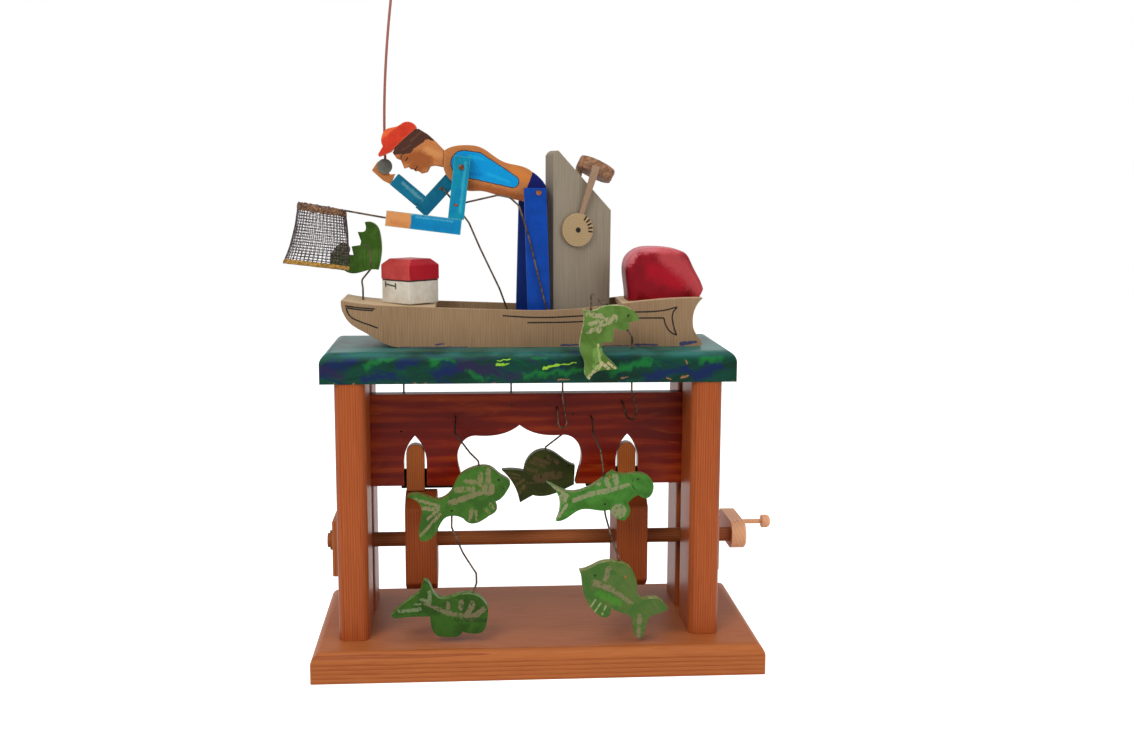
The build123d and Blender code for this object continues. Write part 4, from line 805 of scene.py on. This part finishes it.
shirt = [(-60.0, 420.5, -50.0, 418.6, 21.0, 22.0), (-50.0, 418.6, -32.0, 411.2, 22.0, 15.0),
         (-32.0, 411.2, -19.0, 405.6, 15.0, 9.5)]
seat = [(8.0, 412.0, 6.0, 398.0, 20.5, 26.5)]
# The belly strokes are painted shade that darkens the torso's lower part; the chest stroke is a darker patch
# at its front, and the next a more orange one.
belly_painted_shade = [(-64.0, 404.0, -40.0, 398.0, 7.0, 7.0), (-40.0, 398.0, -14.0, 391.0, 8.0, 9.0)]
chest = [(-70.0, 417.0, -66.0, 408.0, 6.0, 5.0)]
torso_marks = [(belly_painted_shade, "7e3c16", 0.65, 0.0, 1.2, 2.5), (chest, "a2603a", 0.5, 0.0, 1.2, 2.0),
               ([(-18.0, 414.0, -6.0, 408.0, 9.0, 8.0)], "d07a2e", 0.5, 0.0, 1.2, 2.5),
               (shirt, "16202a", 0.95, 1.5, 0.25, 0.25), (shirt, "048cc8", 1.0, 0.0, 0.25, 0.25),
               ([(-56.0, 427.0, -44.0, 424.0, 3.0, 2.0), (-40.0, 412.0, -22.0, 405.0, 3.0, 2.0)],
                "1ea2cc", 0.6, 0.0, 0.8, 0.8),
               ([(-58.0, 412.0, -46.0, 411.0, 4.0, 3.0)], "0474b4", 0.6, 0.0, 0.8, 1.0),
               (seat, "0a1258", 1.0, 0.0, 0.3, 0.3)]
torso_finish = figure_material("painted torso", torso_marks)
figure_wood = figure_material("carved figure wood", [])
dressed("near_leg", "blue_paint", near_leg_paint, soften=0.5)
dressed("far_leg", "blue_paint", far_leg_shaded_paint, soften=0.5)
dressed("hip_pin", "brass_wire", rusty, soften=0.2)
dressed("torso", "figure_wood", torso_finish, soften=1.6, segments=3)
dressed("shoulder_pin", "brass_wire", rusty, soften=0.2)

# ---- Angler: head and cap -----------------------------------------------------------------------
# The head is carved from one thick board in profile on a stout neck, with brown painted hair under a
# red cap that is glued on. The face is a plain one, with a closed eye and a short mouth.
head_middle = Vector((-101.0, 5.0, 432.0)) * MM
head_looks = Vector((-0.574, 0.0, -0.819))
head_crown = Vector((-0.819, 0.0, 0.574))
half_head = 6.2
head_outline = [(13.0, 13.5), (15.0, 8.0), (14.2, 4.2), (18.2, -1.8), (15.0, -4.2), (15.6, -6.6),
                (14.4, -8.6), (14.8, -10.6), (13.0, -12.8), (13.2, -16.2), (9.5, -19.4), (4.0, -18.8),
                (1.4, -21.4), (-1.6, -28.0), (-13.6, -20.4), (-15.6, -11.0), (-16.6, -2.0), (-16.0, 7.0),
                (-9.0, 14.0), (2.0, 15.0)]


def head_place(u, v, y):
    """A place on the head by its distance ahead of and above its middle, in millimetres."""
    return head_middle + (head_looks * u + head_crown * v) * MM + Vector((0.0, y * MM, 0.0))


bm = bmesh.new()
near = [bm.verts.new(head_place(u, v, -half_head)) for u, v in head_outline]
far = [bm.verts.new(head_place(u, v, half_head)) for u, v in head_outline]
bm.faces.new(near)
bm.faces.new(far)
skinned(bm, near, far)
bmesh.ops.recalc_face_normals(bm, faces=bm.faces)
rims = [e for e in bm.edges if abs((e.verts[0].co - e.verts[1].co).y) < 0.1 * MM]
rounded(bm, rims, 1.5, 3)
hair = [(-120.0, 430.5, -107.5, 434.0, 6.5, 11.5), (-109.0, 434.5, -98.0, 443.5, 11.5, 14.0),
        (-100.0, 445.5, -89.5, 444.6, 14.0, 9.0), (-92.0, 446.0, -86.0, 442.0, 9.0, 6.0)]
face_shade = [(-113.0, 424.0, -97.0, 425.5, 6.0, 12.0), (-99.0, 419.0, -92.0, 422.0, 14.0, 12.0)]
# The face strokes are painted shade over the face, and the lighter stroke on the neck is a painted highlight.
head_marks = [(face_shade, "84401a", 0.75, 0.0, 1.2, 3.0),
              ([(-91.0, 432.0, -79.0, 427.0, 5.0, 5.0)], "cf9058", 0.6, 0.0, 1.0, 2.0),
              (hair, "46291e", 1.0, 0.0, 0.4, 0.4),
              ([(-104.0, 439.0, -96.0, 446.0, 1.6, 1.2), (-112.0, 431.0, -104.0, 436.0, 1.0, 1.0)],
               "5f4238", 0.6, 0.0, 0.5, 0.5)]
head_finish = figure_material("painted head", head_marks)
even_shading(shown("head_carved", built("head", bm), head_finish, "torso", "figure_wood", "head"))
face_lines = {
    "eye_line": [(12.4, 1.6), (10.6, 0.7), (8.8, 1.3)],
    "brow_line": [(12.8, 5.2), (10.4, 6.0), (8.0, 5.2)],
    "mouth_line": [(14.2, -9.2), (11.8, -9.9), (10.2, -9.4)],
}
for side, label in ((-1, "near"), (1, "far")):
    for name, points in face_lines.items():
        spots = [head_place(u, v, 0.0) / MM for u, v in points]
        cheek = head_middle.y + side * half_head * MM
        pen_line(f"{name}_{label}", [(spot.x, spot.z) for spot in spots], cheek, "torso",
                 radius=0.7, sunk=-side * 0.5)
cap_marks = [([(-130.0, 441.0, -112.0, 455.0, 3.5, 3.5)], "e8703c", 0.6, 1.0, 1.2),
             ([(-121.0, 434.5, -104.0, 442.0, 3.0, 3.0)], "b8301e", 0.5, 1.0, 1.4)]
cap_paint = painted_material("cap paint", "d03e26", "bd331e", "ea8a60", wear=0.75, marks=cap_marks)
dressed("hat", "cap_paint", cap_paint, soften=0.6)

# ---- Angler: arms, net and rod ------------------------------------------------------------------
# Blue sleeves of flat strip, bare at the hands, pinned at the shoulder. The near hand holds a net of
# woven wire on a wire handle, and the far hand a thin rod with a grey reel.
upper_marks = [([(-58.5, 421.0, -63.5, 380.0, 2.2, 2.2)], "36a6bc", 0.6, 0.8, 0.8),
               ([(-64.5, 398.0, -70.0, 380.0, 5.0, 4.0)], "0670a0", 0.6, 0.8, 1.5)]
# The bare near hand is a stroke so wide that its edge across the forearm is straight.
near_marks = [([(-124.0, 381.0, -66.0, 376.5, 3.0, 2.4)], "8fb8b0", 0.75, 1.2, 0.7),
              ([(-100.0, 376.0, -70.0, 372.5, 1.6, 1.2)], "58adc4", 0.5, 1.0, 0.6),
              ([(-98.0, 369.0, -68.0, 366.0, 4.0, 3.0)], "0470a8", 0.6, 1.0, 1.4),
              ([(-140.0, 376.0, -128.9, 375.0, 49.0, 49.0)], "cc8a52", 1.0, 0.2, 0.2),
              ([(-120.0, 371.0, -108.0, 369.0, 5.0, 4.0)], "b2683a", 0.5, 2.0, 2.0)]
far_marks = [([(-96.0, 390.0, -112.0, 404.0, 3.0, 2.4)], "6aa2ac", 0.6, 1.0, 0.8),
             ([(-92.0, 379.0, -80.0, 392.0, 5.0, 5.0)], "0a6c94", 0.6, 1.0, 1.6)]
upper_paint = painted_material("near sleeve paint", "068aa8", "067a98", "62a8a6", rough=0.36,
                               marks=upper_marks)
forearm_paint = painted_material("near forearm paint", "0684b4", "0578a6", "7fb0a4", rough=0.36,
                                 marks=near_marks)
# The far sleeves are a darker blue than the near ones as painted shade, for they are on the far side of the
# figure.
far_sleeve_shaded_paint = painted_material("far sleeve paint in painted shade", "0c7898", "0a6886", "5f9a9e", rough=0.4, marks=far_marks)
dressed("near_upper_arm", "blue_paint", upper_paint, soften=1.3, segments=3)
dressed("near_forearm", "blue_paint", forearm_paint, soften=0.8)
dressed("far_upper_arm", "blue_paint", far_sleeve_shaded_paint, soften=1.0)
dressed("far_forearm", "blue_paint", far_sleeve_shaded_paint, soften=0.8)
dressed("far_hand", "figure_wood", figure_wood, soften=0.8)


def brad(name, x, z, y, body, turn):
    """The hammered head of a brad, a little longer than wide, with its place in millimetres."""
    bm = bmesh.new()
    bmesh.ops.create_icosphere(bm, subdivisions=2, radius=1.0 * MM)
    bmesh.ops.scale(bm, vec=(2.1, 0.9, 1.15), verts=bm.verts)
    bmesh.ops.rotate(bm, cent=(0, 0, 0), matrix=Matrix.Rotation(radians(turn), 3, "Y"), verts=bm.verts)
    bmesh.ops.translate(bm, vec=(x * MM, y * MM, z * MM), verts=bm.verts)
    shown(name, built(name, bm), rusty, body, "steel_wire")


brad("near_elbow_brad", -66.8, 386.0, -12.9, "near_arm", 12.0)
brad("far_arm_brad", -79.5, 399.5, 11.7, "far_arm", 30.0)
dressed("net_handle", "steel_wire", old_wire, soften=0.0)


def mesh_material(name, dark, light, glint, metallic):
    """Oxidised woven wire, dark in the hollows, with cool glints in small flecks, which are painted
    highlights.
    """
    material, tree = new_material(name)
    coarse = noise(tree, placed(tree), 420.0, 3.0, 0.6)
    fine = noise(tree, placed(tree), 1500.0, 2.0, 0.5)
    colour = mixed(tree, band(tree, coarse, 0.4, 0.65), tone(dark), tone(light))
    colour = tinted(tree, colour, band(tree, fine, 0.56, 0.66), 0.6, glint)
    surface(tree, colour, 0.42, fine, 0.3, Metallic=metallic)
    return material


net_wire_finish = mesh_material("oxidised mesh", "3a2c2a", "665452", "a79fb2", 0.4)
net_rim_finish = mesh_material("rolled mesh rim", "4a3224", "7a5638", "a58f8a", 0.5)
net_hem_finish = mesh_material("golden hem", "7c5a26", "a47c3a", "cfae6c", 0.6)
# Mouth, middle and hem of the bag: its middle's x and z, half its width along x and z, and half its depth.
net_levels = [(-178.3, 384.4, 19.2, -3.3, 10.4), (-179.9, 359.4, 22.9, -2.6, 8.4),
              (-184.3, 334.6, 26.8, -3.1, 0.9)]
net_middle_y = -8.35
net_columns, net_rows = 44, 21
net_wire_thick = 0.85


def net_place(turn, fall, swell=0.0):
    """A place on the bag: turn round it in degrees, and fall from 0 at the mouth to 1 at the hem."""
    shares = (2 * (fall - 0.5) * (fall - 1), 4 * fall * (1 - fall), 2 * fall * (fall - 0.5))
    blended = [sum(share * size for share, size in zip(shares, sizes)) for sizes in zip(*net_levels)]
    x, z, half_x, half_z, deep = blended
    side, out = cos(radians(turn)), sin(radians(turn))
    reach = side * (1 + swell / 20.0)
    return Vector((x + half_x * reach, net_middle_y + (deep + swell) * out, z + half_z * reach)) * MM


# The bag is bent by hand, so its wires wander and its wall has shallow dents, apart from its two rims.
chance = random.Random(7)
bm = bmesh.new()
rows = []
for row in range(net_rows + 1):
    ring = []
    wander = 0.0 if row in (0, net_rows) else 0.096
    for column in range(net_columns):
        turn = 360.0 * (column + chance.uniform(-wander, wander)) / net_columns
        fall = (row + chance.uniform(-wander, wander)) / net_rows
        dent = mathnoise.noise(Vector((turn * 0.03, fall * 3.0, 1.0))) * 0.9 * sin(pi * fall)
        ring.append(bm.verts.new(net_place(turn, fall, dent)))
    rows.append(ring)
for high, low in zip(rows, rows[1:]):
    skinned(bm, high, low)
net_mesh = built("net_weave", bm)
net = shown("net_weave", net_mesh, net_wire_finish, "near_arm", "net_mesh", "net_bag", "net_rim")
weave = net.modifiers.new("weave", "WIREFRAME")
weave.thickness = net_wire_thick * MM
weave.use_boundary = True
weave.use_even_offset = False


band_steps, band_corners = 72, 10


def net_band(name, fall_from, fall_to, thick, rough, finish, seed=3):
    """A rolled band of mesh round the bag between two levels, with an uneven, frayed surface."""
    bm = bmesh.new()
    middle_fall = (fall_from + fall_to) * 0.5
    rings = []
    for n in range(band_steps):
        turn = 360.0 * n / band_steps
        core = net_place(turn, middle_fall)
        edge = net_place(turn, fall_from)
        rise = (edge - core).length
        outward = (core - net_place(turn, middle_fall, -1.0)).normalized()
        upward = (edge - core).normalized()
        ring = []
        for k in range(band_corners):
            angle = radians(360.0 * k / band_corners)
            ruffle = 1.0 + rough * mathnoise.noise(Vector((n * 0.9, k * 1.3, seed)))
            spot = core + (upward * sin(angle) * rise + outward * cos(angle) * thick * MM) * ruffle
            ring.append(bm.verts.new(spot))
        rings.append(ring)
    for low, high in zip(rings, rings[1:] + rings[:1]):
        skinned(bm, low, high)
    shown(name, built(name, bm), finish, "near_arm", "net_mesh")


net_band("net_rolled_rim", -0.01, 0.11, 1.0, 0.45, net_rim_finish)
net_band("net_hem", 0.93, 1.01, 0.9, 0.25, net_hem_finish, seed=9)
reel_paint = painted_material("reel grey", "6f6f67", "5c5c55", "a9a79b", rough=0.5)
dressed("reel", "reel_grey", reel_paint, soften=0.3)
rod_finish = wood_material("rod", "a5685a", "7c4438", gap=1.2 * MM, rough=0.45)
dressed("fishing_rod", "rod_wood", rod_finish, soften=0.0)

# ---- Fish ---------------------------------------------------------------------------------------
# Sawn from thin board and painted green on both faces, each with its own loose strokes for scales,
# fins and gills and a dark eye, while the sawn edge stays a pale yellow-green or brown.


def fish_material(name, body, light, edge, marks):
    """Green paint with placed strokes on both faces, and a bare sawn edge between them."""
    material, tree = new_material(name)
    vector = placed(tree)
    slow = noise(tree, vector, 60.0, 3.0, 0.55, 0.5)
    paint = mixed(tree, band(tree, slow, 0.38, 0.62), tone(body), tone(light))
    paint, bristle = bristled(tree, placed(tree, turn=(0, 35, 0)), paint, 0.45)
    dry = band(tree, noise(tree, stretched(tree, vector, (420.0, 420.0, 240.0)), 1.0, 3.0), 0.33, 0.5)
    for strokes, shade, share, ragged in marks:
        mask = times(tree, brushed(tree, brush_place(tree, ragged), strokes), dry)
        paint = tinted(tree, paint, mask, share, shade)
    side = add(tree, "SeparateXYZ", {0: add(tree, "TexCoord").outputs["Normal"]}).outputs["Y"]
    flat = band(tree, maths(tree, "ABSOLUTE", side), 0.6, 0.9)
    sawn = mixed(tree, band(tree, noise(tree, vector, 320.0, 3.0), 0.35, 0.65), tone(edge), tone(light))
    surface(tree, mixed(tree, flat, sawn, paint), 0.46, bristle, 0.25)
    return material


def dot(x, z, width):
    return [(x, z, x, z, width, width)]


dark = "1c1c10"
fish_1_scales = [(-73.6, 140.7, -46.7, 150.5, 5.0, 5.0), (-41.5, 153.4, -41.5, 152.2, 10.5, 10.5),
                 (-41.4, 168.4, -41.4, 157.6, 4.1, 4.1), (-48.1, 165.5, -48.2, 156.5, 4.1, 4.1),
                 (-67.7, 152.0, -54.9, 153.0, 5.0, 5.0), (-60.1, 159.0, -52.5, 158.3, 4.1, 4.1),
                 (-55.6, 135.1, -57.4, 126.1, 3.3, 2.5), (-52.1, 133.9, -51.5, 126.1, 2.5, 2.0),
                 (-44.5, 135.5, -41.0, 131.9, 2.5, 2.5), (-39.8, 140.3, -37.5, 136.0, 2.5, 2.5)]
fish_1_tail = [(-102.5, 144.7, -82.9, 138.5, 2.4, 2.9), (-96.9, 136.9, -83.5, 135.5, 3.3, 3.3),
               (-83.5, 134.9, -91.7, 127.9, 2.5, 2.5), (-82.4, 131.3, -97.7, 113.5, 2.5, 2.5)]
fish_2_scales = [(0.6, 162.3, 13.2, 157.7, 3.3, 3.3), (-3.2, 158.9, 9.3, 154.8, 3.3, 3.3),
                 (-5.7, 152.5, 2.0, 150.7, 2.9, 2.9), (12.6, 163.6, 20.9, 158.1, 3.3, 3.3),
                 (2.6, 144.6, 21.8, 147.2, 7.5, 7.5), (-6.2, 139.7, 10.8, 141.0, 1.2, 1.2)]
fish_2_tail = [(-25.4, 149.8, -11.5, 146.7, 1.7, 1.7), (-21.5, 145.3, -12.4, 143.8, 1.7, 1.7),
               (-15.8, 138.3, -9.5, 142.7, 2.1, 2.1), (-13.9, 129.9, -8.6, 137.2, 3.3, 3.3)]
fish_3_scales = [(30.2, 141.9, 41.1, 146.4, 4.1, 4.1), (41.1, 146.4, 59.2, 150.1, 4.1, 4.1),
                 (59.2, 150.1, 75.2, 154.4, 4.1, 3.3), (49.6, 155.5, 50.8, 155.4, 3.3, 3.3),
                 (57.2, 159.3, 59.2, 154.0, 4.1, 4.1), (64.2, 161.9, 65.5, 155.9, 5.0, 4.0),
                 (67.0, 132.2, 68.3, 132.2, 12.0, 12.0)]
fish_3_tail = [(6.5, 157.3, 23.9, 146.6, 2.5, 2.5), (14.2, 144.1, 23.9, 145.4, 5.0, 4.0),
               (16.2, 138.2, 22.6, 142.0, 4.1, 3.0), (16.9, 127.7, 23.9, 138.1, 2.5, 2.5)]
fish_3_gill = [(79.1, 159.0, 79.5, 152.4, 1.0, 1.2), (79.5, 152.4, 84.3, 147.8, 1.2, 1.0),
               (84.3, 147.8, 91.5, 145.7, 1.0, 0.7)]
fish_4_scales = [(-93.7, 59.8, -75.8, 51.5, 2.5, 4.1), (-75.8, 51.5, -56.5, 46.3, 4.1, 5.8),
                 (-75.7, 60.0, -75.7, 55.8, 3.3, 3.3), (-64.5, 61.0, -65.2, 55.6, 4.1, 4.1),
                 (-55.3, 59.0, -59.4, 50.6, 5.0, 5.0), (-46.5, 54.0, -54.2, 48.1, 5.0, 5.0)]
fish_4_tail = [(-102.9, 59.3, -95.4, 59.8, 1.7, 1.7), (-115.8, 53.6, -98.9, 55.0, 2.9, 2.9),
               (-90.6, 70.0, -90.7, 61.5, 3.3, 3.3), (-97.7, 63.5, -90.7, 61.3, 2.5, 2.5)]
fish_5_scales = [(45.8, 77.5, 60.4, 71.1, 5.8, 4.1), (60.4, 71.1, 76.2, 59.8, 4.1, 2.5),
                 (57.2, 88.8, 54.3, 80.5, 5.0, 4.0), (83.4, 48.7, 82.6, 30.8, 3.3, 3.3)]
fish_5_fin = [(46.4, 63.0, 42.4, 57.3, 1.5, 1.5), (50.4, 59.8, 45.9, 53.1, 1.5, 1.5),
              (55.0, 57.6, 52.0, 50.3, 1.5, 1.5)]
jump_scales = [(39.2, 299.8, 50.7, 298.3, 4.1, 4.1), (40.7, 292.1, 47.2, 294.3, 3.3, 3.3),
               (39.2, 285.1, 46.2, 288.8, 3.3, 3.3), (47.8, 286.2, 50.2, 292.3, 3.3, 5.0),
               (50.2, 292.3, 60.3, 296.7, 5.0, 6.5)]
jump_tail = [(47.3, 275.2, 48.9, 262.0, 1.7, 1.7), (50.5, 260.5, 56.0, 255.9, 2.6, 2.6),
             (56.0, 260.5, 61.6, 255.9, 2.2, 2.2), (48.9, 258.5, 40.9, 247.9, 4.1, 4.1)]
net_fish_grain = [(x, 333.0, x + lean, 333.0 + rise, 0.5, 0.9) for x, lean, rise in (
    (-150.5, 0.0, 9.0), (-146.8, 0.4, 12.0), (-143.4, 0.2, 14.0), (-139.6, 0.5, 18.0), (-133.4, 0.8, 30.0),
    (-130.4, 0.5, 26.0))]
# Each fish has a body colour, a lighter one and its edge's, and then its strokes in the order they are laid.
fish_looks = {
    "fish_1": ("345a1c", "426e24", "8a7448", [
        (fish_1_scales, "847757", 0.75, 1.0), (fish_1_tail, "8e8060", 0.75, 0.8),
        (dot(-33.0, 160.2, 2.2), dark, 1.0, 0.1), (dot(-28.9, 152.8, 1.6), dark, 1.0, 0.1)]),
    # Fish 2 is coloured darker all over than the others as painted shade, for its near face lies in shade.
    "fish_2": ("2f360c", "3c4412", "66542f", [
        (fish_2_scales, "58462c", 0.85, 0.9), (fish_2_tail, "604c30", 0.8, 0.7),
        (dot(30.6, 155.2, 2.0), "120f08", 1.0, 0.1), (dot(9.8, 162.4, 1.8), "120f08", 1.0, 0.1)]),
    "fish_3": ("376a20", "478030", "94925c", [
        (fish_3_scales, "8e8a68", 0.78, 1.0), (fish_3_tail, "9a9272", 0.75, 0.8),
        (fish_3_gill, "2b4a1e", 0.95, 0.15), (dot(83.6, 159.2, 2.2), dark, 1.0, 0.1),
        (dot(60.0, 161.7, 2.0), "b0622c", 0.9, 0.1)]),
    "fish_4": ("28480e", "355c18", "6c8842", [
        (fish_4_scales, "786c52", 0.78, 1.0), (fish_4_tail, "74805a", 0.75, 0.8),
        ([(-70.0, 46.0, -40.0, 44.0, 4.0, 4.0)], "1c3c06", 0.8, 1.4)]),
    "fish_5": ("42682a", "586e34", "96945a", [
        (fish_5_scales, "817256", 0.78, 1.0), (fish_5_fin, "94a26c", 0.85, 0.3),
        ([(48.0, 68.0, 66.0, 60.0, 6.0, 6.0)], "3f8422", 0.6, 1.6), (dot(45.7, 83.8, 2.0), dark, 1.0, 0.1),
        (dot(70.9, 82.3, 2.2), "9a5a2c", 0.9, 0.1)]),
    "jump_fish": ("4c6c28", "5e7f38", "d2cc9c", [
        (jump_scales, "9d9672", 0.8, 1.0), (jump_tail, "bfae88", 0.8, 0.6),
        ([(47.0, 270.0, 46.0, 256.0, 7.0, 6.0)], "73984a", 0.6, 1.0), (dot(71.8, 298.8, 2.2), dark, 1.0, 0.1),
        ([(71.8, 293.9, 80.8, 293.9, 0.7, 0.7)], "2b3a16", 0.9, 0.1)]),
    "net_fish": ("33540f", "426620", "6a5c2a", [(net_fish_grain, "274508", 0.75, 0.6)]),
}
for name, (body, light, edge, marks) in fish_looks.items():
    finish = fish_material(name.replace("_", " ") + " paint", body, light, edge, marks)
    dressed(name, "fish_paint", finish, soften=0.6)

# The net fish hangs on a wire that is bent up its face and let into the wood.
net_fish_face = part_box("net_fish")[0].y
face_wire = [(-139.5, 333.0), (-139.5, 338.0), (-139.8, 344.0), (-141.0, 349.2), (-144.6, 352.0)]
pen_line("net_fish_face_wire", face_wire, net_fish_face, "lift", radius=0.75, sunk=0.3,
         finish=old_wire)

# ---- Floor, light and camera --------------------------------------------------------------------
# A white sweep under soft, even light, and the camera in front of the object, a little left of its
# middle and looking slightly down.
floor_half = 3.0
floor_drop = 0.2 * MM
white = (1.0, 1.0, 1.0, 1.0)


def seen_rays(tree):
    """1 for rays that come from the camera, a reflection or a see-through piece, and 0 for the rest."""
    path = add(tree, "LightPath").outputs
    direct = maths(tree, "MAXIMUM", path["Is Camera Ray"], path["Is Glossy Ray"])
    return maths(tree, "MAXIMUM", direct, path["Is Transmission Ray"])


def white_floor():
    """White to the camera and to reflections, with the object's shadow still on it."""
    material, tree = new_material("white floor")
    matt = add(tree, "BsdfDiffuse", {"Color": (0.86, 0.86, 0.86, 1.0)}).outputs[0]
    glow = add(tree, "Emission", {"Color": white, "Strength": 0.8}).outputs[0]
    glowing = add(tree, "AddShader", {0: matt, 1: glow}).outputs[0]
    both = add(tree, "MixShader", {0: seen_rays(tree), 1: matt, 2: glowing}).outputs[0]
    add(tree, "OutputMaterial", {"Surface": both})
    return material


bm = bmesh.new()
bmesh.ops.create_grid(bm, x_segments=1, y_segments=1, size=floor_half)
bmesh.ops.translate(bm, verts=bm.verts, vec=(0, 0, -floor_drop))
floor_mesh = bpy.data.meshes.new("floor")
bm.to_mesh(floor_mesh)
bm.free()
floor_mesh.materials.append(white_floor())
floor = bpy.data.objects.new("floor", floor_mesh)
bpy.context.scene.collection.objects.link(floor)

world = bpy.data.worlds.new("white room")
bpy.context.scene.world = world
world.use_nodes = True
world.node_tree.nodes.clear()
room = world.node_tree
light = add(room, "Background", {"Color": white, "Strength": 0.42}).outputs[0]
backdrop = add(room, "Background", {"Color": white, "Strength": 1.0}).outputs[0]
both = add(room, "MixShader", {0: seen_rays(room), 1: light, 2: backdrop}).outputs[0]
add(room, "OutputWorld", {"Surface": both})


def softbox(name, place, aim, size, power):
    """A rectangular lamp at a place in metres, turned to its aim, with its power in watts."""
    data = bpy.data.lights.new(name, "AREA")
    data.shape = "RECTANGLE"
    data.size = size[0]
    data.size_y = size[1]
    data.energy = power
    lamp = bpy.data.objects.new(name, data)
    lamp.location = place
    lamp.rotation_euler = (Vector(aim) - Vector(place)).to_track_quat("-Z", "Y").to_euler()
    bpy.context.scene.collection.objects.link(lamp)


softbox("key softbox", (-0.9, -1.5, 1.5), (0.0, 0.0, 0.25), (0.9, 0.9), 20.0)
softbox("top softbox", (0.0, -0.2, 1.9), (0.0, 0.0, 0.2), (1.2, 1.0), 9.0)
softbox("fill softbox", (1.3, -1.3, 0.8), (0.0, 0.0, 0.25), (1.0, 1.0), 8.5)

eye = Vector((-0.055738, -1.145458, 0.407628))
yaw, pitch, roll = radians(4.163), radians(8.434), radians(0.206)
photo_width, focal_pixels, sensor = 1134, 1340.0, 36.0
ahead = Vector((sin(yaw) * cos(pitch), cos(yaw) * cos(pitch), -sin(pitch)))
level_right = Vector((cos(yaw), -sin(yaw), 0.0))
level_up = level_right.cross(ahead)
right = cos(roll) * level_right + sin(roll) * level_up
up = -sin(roll) * level_right + cos(roll) * level_up
lens = bpy.data.cameras.new("camera")
lens.sensor_width = sensor
lens.lens = focal_pixels / photo_width * sensor
camera = bpy.data.objects.new("camera", lens)
camera.matrix_world = Matrix((right, up, -ahead)).transposed().to_4x4()
camera.matrix_world.translation = eye
bpy.context.scene.collection.objects.link(camera)
bpy.context.scene.camera = camera
bpy.context.scene.view_settings.view_transform = "Standard"
